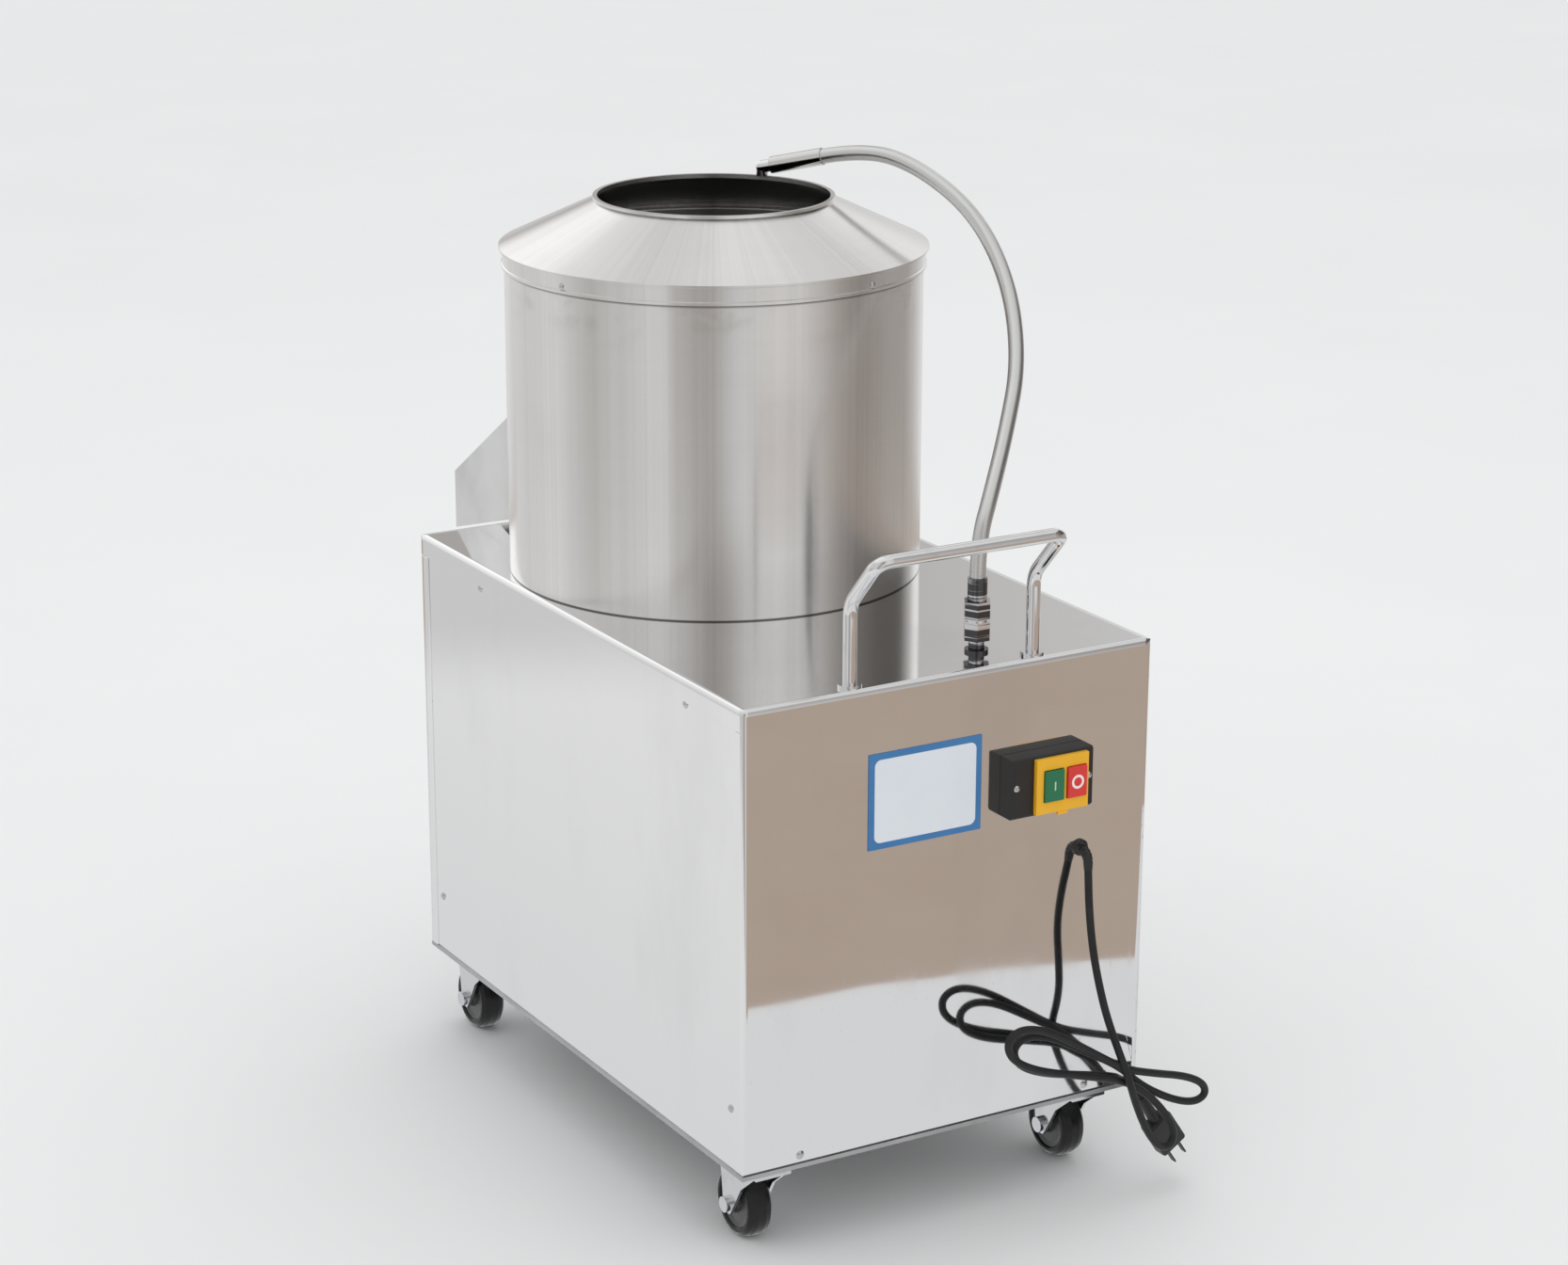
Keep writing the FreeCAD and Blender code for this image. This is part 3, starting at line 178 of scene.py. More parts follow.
def new_finish(name):
    """An empty material: its tree, the Principled node and the Object coordinates."""
    material = bpy.data.materials.new(name)
    material.use_nodes = True
    tree = material.node_tree
    shader = tree.nodes["Principled BSDF"]
    place = tree.nodes.new("ShaderNodeTexCoord")
    return material, shader, Wire(tree, place.outputs["Object"])


def wire_in(shader, **sockets):
    """Values or wires for the shader's sockets; a bump is (height, strength, distance)."""
    tree = shader.id_data
    for key, value in sockets.items():
        if key == "bump":
            height, strength, distance = value
            bent = height.make("ShaderNodeBump", {}, {"Height": height, "Strength": strength,
                                                      "Distance": distance})
            tree.links.new(bent.socket, shader.inputs["Normal"])
            continue
        socket = shader.inputs[key.replace("_", " ")]
        if isinstance(value, Wire):
            tree.links.new(value.socket, socket)
        else:
            socket.default_value = value


def folds(at, dent, radius=0.0055):
    """Height that falls off towards the cabinet's outer corners, like sheet bent round them."""
    low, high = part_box("top_plate")
    px, py, pz = at.parts()
    total = 0.0
    for distance in (px - low.x, high.x - px, py - low.y, high.y - py, high.z - pz):
        near = distance.math("MAXIMUM", radius - distance, 0.0)
        total = near * near + total
    return total * (-0.5 / radius / dent)


def polished(name, tone, dent):
    """Mirror sheet: faint smears, hair scratches and the slow waviness of thin sheet."""
    material, shader, at = new_finish(name)
    smear = at.noise(7.0, 4.0, 0.6, (1.0, 1.0, 0.45))
    patch = smear.rise(0.5, 0.72)
    hair = at.noise(60.0, 2.0, 0.5, (1.0, 1.0, 0.02)).rise(0.62, 0.74)
    speck = at.noise(420.0, 1.0, 0.5).rise(0.70, 0.78)
    wave = at.noise(2.6, 1.0, 0.4) * 1.0 + at.noise(11.0, 1.0, 0.4) * 0.08
    wire_in(shader, Metallic=1.0,
            Base_Color=(patch * 0.6 + speck * 0.4).blend(rgb(*tone),
                                                         rgb(*[v * 0.93 for v in tone])),
            Roughness=patch * 0.045 + hair * 0.03 + speck * 0.1 + 0.045,
            bump=(wave + folds(at, dent), 1.0, dent))
    return material


def satin(name, tone, rough, spin, dull=0.14):
    """Sheet brushed round the drum: rings of fine grain, soft stains, and painted highlight
    streaks that stand on the shell and run up the cone; painted shade darkens its foot and
    a painted shadow lies under the hood skirt."""
    material, shader, at = new_finish(name)
    out = at.about(DRUM_X, DRUM_Y)
    grain = at.noise(1.0, 3.0, 0.7, (6.0, 6.0, 1500.0))
    rings = at.noise(1.0, 2.0, 0.5, (3.0, 3.0, 240.0))
    # Painted highlight streaks: tone that runs out from the drum's axis, upright on the shell and
    # up the cone, standing in for streaked reflections.
    painted_streak = out.noise(7.0, 2.0, 0.6).rise(0.4, 0.7)
    # Finer painted highlight streaks of the same kind.
    line = out.noise(60.0, 2.0, 0.6).rise(0.45, 0.75)
    stain = at.noise(5.0, 4.0, 0.6).rise(0.45, 0.75)
    px, py, pz = at.parts()
    # Painted shade: a dark band on the drum just above the top plate, in the corner where it
    # stands.
    painted_foot_shade = 1.0 - pz.rise(TOP_Z + 0.0006, TOP_Z + 0.0018)
    # Painted shadow: a dark band on the drum just under the hood skirt's lower edge.
    painted_skirt_shadow = pz.rise(SKIRT_Z - 0.0034, SKIRT_Z - 0.0012) * (1.0 - pz.rise(SKIRT_Z - 0.0002, SKIRT_Z))
    smudge = at.noise(1.0, 3.0, 0.6, (26.0, 26.0, 40.0)).rise(0.45, 0.75) * pz.rise(0.74, 0.79)
    smudge = smudge * (1.0 - pz.rise(SKIRT_Z - 0.001, SKIRT_Z))
    # Real stains and grain rings, mixed with the painted highlight streaks.
    stain_and_painted_streak = stain * 0.3 + painted_streak * 0.35 + line * 0.3 + rings * 0.2
    clean = stain_and_painted_streak.blend(rgb(*tone), rgb(*[v * (1.0 - dull) for v in tone]))
    marked = (smudge * 0.35).blend(clean, rgb(0.52, 0.47, 0.42))
    # Base colour: the painted foot shade and the painted skirt shadow darken it to near black.
    wire_in(shader, Metallic=1.0, Anisotropic=spin, Anisotropic_Rotation=0.25,
            Base_Color=(painted_foot_shade + painted_skirt_shadow * 0.75).blend(marked, rgb(0.16, 0.16, 0.16)),
            Roughness=grain * 0.06 + stain * 0.04 + (rough - 0.05),
            bump=(grain * 0.4 + rings * 0.6, 0.03, 0.0004))
    return material


def dull_sheet(name, tone, rough):
    """Mill-finish sheet: clouded, with bend marks and smears."""
    material, shader, at = new_finish(name)
    cloud = at.noise(9.0, 4.0, 0.6)
    line = at.noise(90.0, 2.0, 0.5, (1.0, 0.05, 1.0)).rise(0.6, 0.75)
    wire_in(shader, Metallic=0.9,
            Base_Color=cloud.rise(0.35, 0.7).blend(rgb(*tone), rgb(*[v * 0.86 for v in tone])),
            Roughness=cloud * 0.2 + line * 0.1 + (rough - 0.08),
            bump=(cloud * 0.6 + line * 0.2, 0.2, 0.0006))
    return material


def chromed(name, tone, rough=0.05):
    """Bright plating with a few dull specks and finger smears."""
    material, shader, at = new_finish(name)
    smear = at.noise(30.0, 3.0, 0.6).rise(0.5, 0.75)
    pit = at.noise(700.0, 1.0, 0.5).rise(0.72, 0.8)
    wire_in(shader, Metallic=1.0,
            Base_Color=(smear * 0.4 + pit).blend(rgb(*tone), rgb(*[v * 0.8 for v in tone])),
            Roughness=smear * 0.07 + pit * 0.2 + rough,
            bump=(smear + pit * 0.3, 0.08, 0.0003))
    return material


def glinting(name):
    """Small plated fittings: low down a painted reflection, dark with painted bright glints; plain
    bright tube higher up.
    """
    material, shader, at = new_finish(name)
    px, py, pz = at.parts()
    # Painted highlight: bright glint bands by height on the nuts.
    painted_glint = at.noise(1.0, 2.0, 0.5, (9.0, 9.0, 330.0)).rise(0.50, 0.60)
    # Painted reflection: the nuts' metal colour set near black, with the painted glints bright.
    painted_dark_and_glints = painted_glint.blend(rgb(0.10, 0.10, 0.105), rgb(0.90, 0.90, 0.92))
    wear = at.noise(260.0, 2.0, 0.5)
    wire_in(shader, Metallic=1.0,
            Base_Color=pz.rise(0.62, 0.64).blend(painted_dark_and_glints, rgb(0.74, 0.73, 0.71)),
            Roughness=wear * 0.12 + 0.07, bump=(wear, 0.1, 0.0003))
    return material


def turned_metal(name, tone, rough, metal=1.0):
    """Machined metal: tool rings, an oily patch here and there."""
    material, shader, at = new_finish(name)
    ring = at.noise(1.0, 2.0, 0.6, (20.0, 20.0, 900.0))
    oil = at.noise(18.0, 3.0, 0.6).rise(0.5, 0.7)
    wire_in(shader, Metallic=metal,
            Base_Color=oil.blend(rgb(*tone), rgb(*[v * 0.75 for v in tone])),
            Roughness=ring * 0.15 - oil * 0.1 + rough,
            bump=(ring, 0.25, 0.0003))
    return material


def cast(name, tone, rough, metal):
    """Sand-cast or blasted skin with a pebbled surface."""
    material, shader, at = new_finish(name)
    pebble = at.noise(380.0, 3.0, 0.6)
    cloud = at.noise(14.0, 3.0, 0.6)
    wire_in(shader, Metallic=metal,
            Base_Color=cloud.blend(rgb(*tone), rgb(*[v * 0.72 for v in tone])),
            Roughness=pebble * 0.15 + rough,
            bump=(pebble, 0.35, 0.0008))
    return material


def painted(name, tone, worn, rough=0.4):
    """Paint with orange-peel skin, dust on it and thin wear."""
    material, shader, at = new_finish(name)
    peel = at.noise(260.0, 2.0, 0.5)
    dust = at.noise(16.0, 4.0, 0.65)
    scratch = at.noise(110.0, 2.0, 0.5, (1.0, 0.06, 1.0)).rise(0.66, 0.72)
    base = dust.rise(0.35, 0.8).blend(rgb(*tone), rgb(*[v * 1.25 + 0.02 for v in tone]))
    wire_in(shader, Base_Color=scratch.blend(base, rgb(*worn)),
            Roughness=dust * 0.2 + rough - 0.08,
            bump=(peel * 0.6 - scratch * 0.5, 0.22, 0.0006))
    return material


def moulded(name, tone, rough, grain=0.25, marks=None):
    """Moulded plastic: spark-eroded texture, dust and handling shine."""
    material, shader, at = new_finish(name)
    texture = at.noise(900.0, 2.0, 0.6)
    dust = at.noise(40.0, 3.0, 0.6)
    colour = dust.blend(rgb(*tone), rgb(*[v * 1.15 + 0.008 for v in tone]))
    if marks:
        mask, ink = marks(at)
        colour = mask.blend(colour, rgb(*ink))
    wire_in(shader, Base_Color=colour, Roughness=dust * 0.14 + (rough - 0.05),
            bump=(texture, grain, 0.0003))
    return material


def rubbery(name, tone, rough=0.5):
    """Rubber or soft vinyl with bloom and faint rubbing."""
    material, shader, at = new_finish(name)
    bloom = at.noise(60.0, 4.0, 0.65)
    fine = at.noise(1200.0, 2.0, 0.5)
    wire_in(shader, Base_Color=bloom.blend(rgb(*tone), rgb(*[v * 1.5 + 0.012 for v in tone])),
            Roughness=bloom * 0.22 + (rough - 0.1), Specular_IOR_Level=0.25,
            bump=(fine, 0.15, 0.0002))
    return material


def grit(name, tone, size):
    """Crushed grains set in resin."""
    material, shader, at = new_finish(name)
    grain = at.cells(size)
    clump = at.noise(size * 0.12, 3.0, 0.6)
    wire_in(shader, Base_Color=(grain * 1.4).blend(rgb(*[v * 1.9 for v in tone]), rgb(*tone)),
            Roughness=0.9 - grain * 0.2, Specular_IOR_Level=0.12,
            bump=(clump - grain * 0.8, 0.8, 0.0015))
    return material


def ring_mark(at, x, z, radius, width):
    """A ring printed on a face that looks along Y."""
    px, py, pz = at.parts()
    away = ((px - x) ** 2.0 + (pz - z) ** 2.0) ** 0.5
    return 1.0 - (away - radius).math("ABSOLUTE", away - radius).rise(width * 0.4, width * 0.6)


def bar_mark(at, x, z, wide, tall):
    """An upright bar printed on a face that looks along Y."""
    px, py, pz = at.parts()
    off_x = px.math("ABSOLUTE", px - x)
    off_z = px.math("ABSOLUTE", pz - z)
    soft = 0.00015
    return ((1.0 - off_x.rise(wide / 2 - soft, wide / 2 + soft))
            * (1.0 - off_z.rise(tall / 2 - soft, tall / 2 + soft)))


def middle(node):
    low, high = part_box(node)
    return (low + high) / 2


def start_mark(at):
    where = middle("start_button")
    return bar_mark(at, where.x, where.z, 0.0014, 0.008), (0.55, 0.62, 0.55)


def stop_mark(at):
    where = middle("stop_button")
    return ring_mark(at, where.x, where.z, 0.0052, 0.0022), (0.9, 0.82, 0.8)


def label(name):
    """A bare printed plate: white field with round corners inside a blue border."""
    material, shader, at = new_finish(name)
    low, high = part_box("rating_plate")
    mid = (low + high) / 2
    half_x = (high.x - low.x) / 2 - 0.0058
    half_z = (high.z - low.z) / 2 - 0.0058
    corner = 0.006
    px, py, pz = at.parts()
    out_x = px.math("MAXIMUM", px.math("ABSOLUTE", px - mid.x) - (half_x - corner), 0.0)
    out_z = px.math("MAXIMUM", px.math("ABSOLUTE", pz - mid.z) - (half_z - corner), 0.0)
    away = (out_x * out_x + out_z * out_z) ** 0.5
    border = away.rise(corner - 0.0002, corner + 0.0002)
    mottle = at.noise(25.0, 4.0, 0.6)
    field = mottle.blend(rgb(0.80, 0.83, 0.86), rgb(0.70, 0.76, 0.83))
    blue = mottle.blend(rgb(0.03, 0.16, 0.40), rgb(0.05, 0.22, 0.48))
    wire_in(shader, Base_Color=border.blend(field, blue),
            Roughness=mottle * 0.2 + 0.22, Coat_Weight=0.3,
            bump=(border * 0.5 + mottle * 0.2, 0.15, 0.0003))
    return material


def braid_metal(name):
    """Woven wire: bright where the mesh's lift attribute is high, with painted shade, dark, where
    it dips.
    """
    material, shader, at = new_finish(name)
    lift = at.make("ShaderNodeAttribute", {"attribute_name": "lift"}, {}, 2)
    grime = at.noise(35.0, 3.0, 0.6)
    wire_in(shader, Metallic=1.0,
            # Painted shade: base colour near black in the dips between the wires.
            Base_Color=lift.rise(0.1, 0.6).blend(rgb(0.12, 0.12, 0.115), rgb(0.76, 0.76, 0.75)),
            Roughness=0.36 - lift * 0.12 + grime * 0.1)
    return material


finishes = {
    "polished_steel": polished("polished_steel", (0.88, 0.88, 0.885), 0.0012),
    "satin_steel": satin("satin_steel", (0.88, 0.87, 0.86), 0.24, 0.9),
    "chute_steel": dull_sheet("chute_steel", (0.86, 0.86, 0.86), 0.4),
    "frame_steel": dull_sheet("frame_steel", (0.52, 0.52, 0.53), 0.4),
    "chrome_bright": chromed("chrome_bright", (0.86, 0.86, 0.87)),
    "machined_steel": turned_metal("machined_steel", (0.60, 0.60, 0.61), 0.28),
    "motor_paint": painted("motor_paint", (0.10, 0.16, 0.23), (0.3, 0.32, 0.34)),
    "cast_aluminium": cast("cast_aluminium", (0.58, 0.59, 0.60), 0.35, 0.9),
    "cast_iron": turned_metal("cast_iron", (0.16, 0.16, 0.165), 0.42),
    "belt_rubber": rubbery("belt_rubber", (0.018, 0.018, 0.018), 0.7),
    "seal_rubber": rubbery("seal_rubber", (0.035, 0.018, 0.012), 0.5),
    "abrasive": grit("abrasive", (0.006, 0.006, 0.006), 420.0),
    "disc_metal": grit("disc_metal", (0.008, 0.008, 0.008), 320.0),
    "black_plastic": moulded("black_plastic", (0.014, 0.013, 0.013), 0.42),
    "yellow_plastic": moulded("yellow_plastic", (0.80, 0.42, 0.012), 0.32, 0.12),
    "green_plastic": moulded("green_plastic", (0.012, 0.16, 0.07), 0.3, 0.1, start_mark),
    "red_plastic": moulded("red_plastic", (0.66, 0.035, 0.03), 0.3, 0.1, stop_mark),
    "label_sheet": label("label_sheet"),
    "cord_rubber": rubbery("cord_rubber", (0.013, 0.013, 0.014), 0.42),
    "hose_braid": braid_metal("hose_braid"),
    "fitting_metal": glinting("fitting_metal"),
    "screw_steel": chromed("screw_steel", (0.62, 0.62, 0.62), 0.2),
    "castor_zinc": chromed("castor_zinc", (0.72, 0.73, 0.75), 0.16),
    "castor_tyre": rubbery("castor_tyre", (0.006, 0.006, 0.006), 0.26),
    "castor_hub": moulded("castor_hub", (0.05, 0.05, 0.052), 0.25),
}

for name, node in nodes.items():
    node.data.materials.clear()
    node.data.materials.append(finishes[slot_of[name]])


# Cords, with the route's points in millimetres: FREE_CORD and TAIL as x, out from the front
# panel and z, HOSE as x, y and z. A lobe is its angle, reach, half width, side, the offset at
# its start, and its distance out from the panel at start and end.

KNOT = (152.0, 126.0)
LOBES = [(-56.0, 90.0, 13.0, -1, 0.0, 62.0, 53.0),
         (154.5, 130.0, 18.5, 1, -5.0, 53.0, 53.0),
         (-24.0, 100.0, 12.5, 1, 5.0, 53.0, 43.5),
         (157.5, 114.0, 17.0, -1, 5.0, 43.5, 43.5)]


def hank_points():
    """Four lobes out of one knot: each goes out along its angle, round its end and back."""
    points = []
    for angle, reach, half, side, side_in, depth_in, depth_out in LOBES:
        turn = math.radians(angle)
        along = (math.cos(turn), math.sin(turn))
        across = (-along[1], along[0])
        above = 1.0 if along[0] > 0 else -1.0
        shape = [(0.0, above * side_in), (0.34, side * half * 0.62), (0.72, side * half),
                 (0.97, side * half * 0.8), (1.06, 0.0), (0.97, -side * half * 0.8),
                 (0.72, -side * half), (0.34, -side * half * 0.62)]
        for number, (share, offset) in enumerate(shape):
            depth = depth_in + (depth_out - depth_in) * min(1.0, number / 7.0)
            points.append((KNOT[0] + along[0] * reach * share + across[0] * offset, depth,
                           KNOT[1] + along[1] * reach * share + across[1] * offset))
    return points


FREE_CORD = [(135.8, -2, 326.4), (135.8, 12.7, 326.4), (134.8, 15.8, 306), (132.5, 21.5, 278),
             (133, 27.5, 243), (138.5, 31, 208), (145, 38, 172)]
TAIL = [(149.8, 42, 121.0), (163, 32, 111.5), (179, 30, 102), (189, 30, 87)]
HOSE = [(53, -299.5, 573.5), (53, -299.5, 606), (73, -287, 641), (112, -250, 682),
        (152, -209, 733), (177, -154, 792), (180, -93, 844), (164, -22, 877),
        (141.5, 31.7, 887.0), (114.8, 66.5, 877.2)]


def in_front(points):
    """Points given as x, distance out from the front panel and z, in metres in the frame."""
    return [Vector((x * MM, FRONT_Y - out * MM, z * MM)) for x, out, z in points]


def spline_curve(name, points):
    """An open NURBS curve with these points as its control points."""
    data = bpy.data.curves.new(name, "CURVE")
    data.dimensions = "3D"
    data.resolution_u = 12
    spline = data.splines.new("NURBS")
    spline.points.add(len(points) - 1)
    for point, place in zip(spline.points, points):
        point.co = (*place, 1.0)
    spline.order_u = 3
    spline.use_endpoint_u = True
    piece = bpy.data.objects.new(name, data)
    scene.collection.objects.link(piece)
    return piece


def line_of(curve):
    """Points along a curve with no bevel."""
    bpy.context.view_layer.update()
    shaped = curve.evaluated_get(bpy.context.evaluated_depsgraph_get())
    mesh = bpy.data.meshes.new_from_object(shaped)
    found = np.array([v.co[:] for v in mesh.vertices])
    bpy.data.meshes.remove(mesh)
    return found


def even(points, step):
    """The same line with points a step apart."""
    gaps = np.linalg.norm(np.diff(points, axis=0), axis=1)
    reach = np.concatenate([[0.0], np.cumsum(gaps)])
    count = max(2, int(round(reach[-1] / step)) + 1)
    wanted = np.linspace(0.0, reach[-1], count)
    return np.stack([np.interp(wanted, reach, points[:, k]) for k in range(3)], axis=1), wanted


def side_axes(points):
    """Two directions square to the line at each point, carried along with no twist."""
    along = np.gradient(points, axis=0)
    along /= np.linalg.norm(along, axis=1)[:, None]
    side = np.cross(along[0], (0.0, 0.0, 1.0) if abs(along[0][2]) < 0.9 else (1.0, 0.0, 0.0))
    side /= np.linalg.norm(side)
    sides = np.zeros_like(points)
    for number, ahead in enumerate(along):
        side = side - ahead * np.dot(side, ahead)
        side = side / np.linalg.norm(side)
        sides[number] = side
    return sides, np.cross(along, sides)


def grid_mesh(name, rows, material=None, lift=None):
    """A closed skin on a grid of points: rows along the piece, columns round it, fans at
    both ends."""
    count, around, _ = rows.shape
    flat = rows.reshape(-1, 3)
    ends = np.array([rows[0].mean(axis=0), rows[-1].mean(axis=0)])
    at = np.arange(count * around).reshape(count, around)
    after = np.roll(at, -1, axis=1)
    quads = np.stack([at[:-1], after[:-1], after[1:], at[1:]], axis=-1).reshape(-1, 4)
    first = np.stack([after[0], at[0], np.full(around, count * around)], axis=-1)
    last = np.stack([at[-1], after[-1], np.full(around, count * around + 1)], axis=-1)
    mesh = bpy.data.meshes.new(name)
    mesh.from_pydata(np.concatenate([flat, ends]).tolist(), [],
                     quads.tolist() + first.tolist() + last.tolist())
    mesh.update()
    mesh.polygons.foreach_set("use_smooth", np.ones(len(mesh.polygons), bool))
    if lift is not None:
        layer = mesh.attributes.new("lift", "FLOAT", "POINT")
        layer.data.foreach_set("value", np.concatenate([lift.reshape(-1), [0.5, 0.5]]))
    if material:
        mesh.materials.append(material)
    piece = bpy.data.objects.new(name, mesh)
    scene.collection.objects.link(piece)
    return piece


def outward(piece):
    """Turns every face of a closed mesh to look outwards."""
    work = bmesh.new()
    work.from_mesh(piece.data)
    bmesh.ops.recalc_face_normals(work, faces=work.faces)
    work.to_mesh(piece.data)
    work.free()
    return piece


def dress(piece, body, slot, *replaced):
    """The piece rides on a body, takes a slot's finish and stands for these nodes."""
    if not len(piece.data.materials):
        piece.data.materials.append(finishes[slot])
    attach(piece, body)
    if replaced:
        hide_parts(*replaced)
    return piece


CORD_RADIUS = 0.0035
lead = spline_curve("power_lead", in_front(FREE_CORD + hank_points() + TAIL))
lead.data.bevel_depth = CORD_RADIUS
lead.data.bevel_resolution = 5
lead.data.use_fill_caps = True
dress(lead, "cabinet", "cord_rubber", "power_cord", "cord_hank")
in_front(FREE_CORD)[0]

HOSE_STEP = 0.0005
hose_line = spline_curve("hose_line", [Vector(p) * MM for p in HOSE])
hose_path, hose_reach = even(line_of(hose_line), HOSE_STEP)
bpy.data.objects.remove(hose_line)
HOSE_RADIUS = 0.0069
STRANDS = 10
PITCH_LENGTH = 0.030
STRAND_RISE = 0.0004
STRAND_FLOOR = 0.0003


def braided_tube(name, path, reach, radius):
    """A tube whose radius is raised by two families of wires wound opposite ways; each
    passes over and under the other by turns."""
    around = 64
    turn = np.linspace(0.0, 2 * math.pi, around, endpoint=False)[None, :]
    drift = (reach / PITCH_LENGTH * 2 * math.pi)[:, None]
    one = (turn + drift) * STRANDS / 2
    two = (turn - drift) * STRANDS / 2
    over = np.sign(np.sin(one) * np.sin(two))
    wire_one = np.abs(np.sin(one * 2)) ** 0.5
    wire_two = np.abs(np.sin(two * 2)) ** 0.5
    lift = np.where(over > 0, wire_one, wire_two)
    side, other = side_axes(path)
    size = (radius - STRAND_FLOOR + STRAND_RISE * lift)[..., None]
    cosine, sine = np.cos(turn)[..., None], np.sin(turn)[..., None]
    ring = side[:, None, :] * cosine + other[:, None, :] * sine
    return grid_mesh(name, path[:, None, :] + ring * size, material=finishes["hose_braid"],
                     lift=lift)


hose = outward(braided_tube("hose_weave", hose_path, hose_reach, HOSE_RADIUS))
dress(hose, "cabinet", "hose_braid", "braided_hose")


# The boot's radius by distance from the gland, in metres: four soft ribs on a taper
BOOT_PROFILE = [(0.0, 0.0042), (0.0075, 0.0043), (0.0085, 0.0050), (0.0105, 0.0045),
                (0.0115, 0.0049), (0.0135, 0.0043), (0.0145, 0.0047), (0.0165, 0.0042),
                (0.0175, 0.0045), (0.0195, 0.0040), (0.0205, 0.0043), (0.028, 0.0037)]


def sleeve(name, path, profile, slot, around=36):
    """A skin round the first stretch of a line: its radius follows the profile by distance."""
    line, reach = even(path, 0.0004)
    used = reach <= profile[-1][0]
    line, reach = line[used], reach[used]
    size = np.interp(reach, *np.array(profile).T)[:, None, None]
    side, other = side_axes(line)
    turn = np.linspace(0, 2 * math.pi, around, endpoint=False)[None, :, None]
    ring = side[:, None, :] * np.cos(turn) + other[:, None, :] * np.sin(turn)
    rows = line[:, None, :] + ring * size
    return dress(outward(grid_mesh(name, rows)), "cabinet", slot)


lead_line = spline_curve("lead_line", in_front(FREE_CORD))
sleeve("cord_boot", line_of(lead_line), BOOT_PROFILE, "black_plastic")
bpy.data.objects.remove(lead_line)


# Softened edges: folded sheet, moulded and cast pieces

def softened(name, wide, fine, wide_area=0.0015):
    """A copy of a part with rounded edges. Edges between two broad faces get the wide round,
    every other sharp edge the fine one."""
    work = bmesh.new()
    work.from_mesh(nodes[name].data)
    bmesh.ops.transform(work, matrix=nodes[name].matrix_world, verts=work.verts)
    bmesh.ops.remove_doubles(work, verts=work.verts, dist=2e-6)
    bmesh.ops.dissolve_limit(work, angle_limit=math.radians(1.0), verts=work.verts,
                             edges=work.edges)
    for width, steps, least in ((wide, 3, wide_area), (fine, 2, 0.0)):
        if not width:
            continue
        chosen = [edge for edge in work.edges if edge.is_manifold
                  and edge.calc_face_angle(0.0) > math.radians(30)
                  and min(face.calc_area() for face in edge.link_faces) > least
                  and (least == 0.0 or edge.is_convex)]
        if chosen:
            bmesh.ops.bevel(work, geom=chosen, offset=width, offset_type="OFFSET",
                            segments=steps, profile=0.5, affect="EDGES", clamp_overlap=True)
    bmesh.ops.recalc_face_normals(work, faces=work.faces)
    mesh = bpy.data.meshes.new(name + "_soft")
    work.to_mesh(mesh)
    work.free()
    mesh.polygons.foreach_set("use_smooth", np.ones(len(mesh.polygons), bool))
    piece = bpy.data.objects.new(name + "_soft", mesh)
    scene.collection.objects.link(piece)
    weighted = piece.modifiers.new("even_light", "WEIGHTED_NORMAL")
    weighted.keep_sharp = True
    return dress(piece, body_of[name], slot_of[name], name)


for part, wide, fine in (("top_plate", 0.0022, 0.0003), ("front_panel", 0.0012, 0.0003),
                         ("left_side_panel", 0.0012, 0.0003), ("right_side_panel", 0.0012, 0.0003),
                         ("back_panel", 0.0012, 0.0003), ("switch_housing", 0.0025, 0.0008),
                         ("switch_cover", 0.002, 0.0007), ("plug", 0.002, 0.0012),
                         ("start_button", 0.0, 0.0008), ("stop_button", 0.0, 0.0008),
                         ("rating_plate", 0.0, 0.0003), ("discharge_chute", 0.0, 0.0003)):
    softened(part, wide, fine)


# Studio

def tone_ramp(direction, tones, warm=(1.0, 0.93, 0.87), pivot=0.62):
    """Grey levels by compass angle round the drum, the darker the warmer."""
    px, py, pz = direction.parts()
    angle = px.make("ShaderNodeMath", {"operation": "ARCTAN2"}, {0: py, 1: px})
    share = angle / (2 * math.pi) + 0.5
    stops = []
    for degrees, level in tones:
        depth = max(0.0, min(1.0, (pivot - level) / 0.3))
        colour = [level * (1.0 + (w - 1.0) * depth) for w in warm]
        stops.append(((degrees + 180) / 360.0, rgb(*colour)))
    return share.make("ShaderNodeValToRGB", {"stops": stops}, {"Fac": share})


def studio_tone(direction):
    """The room below the horizon, as the drum's standing bands show it."""
    return tone_ramp(direction, [
        (-180, 0.53), (-169, 0.58), (-157, 0.66), (-147, 0.64), (-143.5, 0.62), (-142, 0.42),
        (-138, 0.44), (-129, 0.38), (-119, 0.43), (-110, 0.60), (-100, 0.68), (-91, 0.74),
        (-81, 0.73), (-71, 0.70), (-60, 0.55), (-49, 0.38), (-37, 0.27), (-24, 0.30), (-9, 0.40),
        (10, 0.39), (42, 0.74), (89, 0.71), (115, 0.63), (132, 0.69), (147, 0.69), (160, 0.55),
        (171, 0.44), (180, 0.53)])


def upper_tone(direction):
    """The walls above the horizon, as the flat top shows them."""
    return tone_ramp(direction, [
        (-180, 0.60), (-150, 0.65), (-135, 0.50), (-121, 0.31), (-112, 0.38), (-98, 0.66),
        (-85, 0.69), (-67, 0.60), (-50, 0.35), (-35, 0.18), (-19, 0.11), (8, 0.10), (22, 0.50),
        (32, 0.95), (45, 0.88), (50, 0.70), (54, 0.58), (58, 0.50), (63, 0.42), (71, 0.40),
        (76, 1.12), (100, 1.12), (125, 0.70), (180, 0.60)])


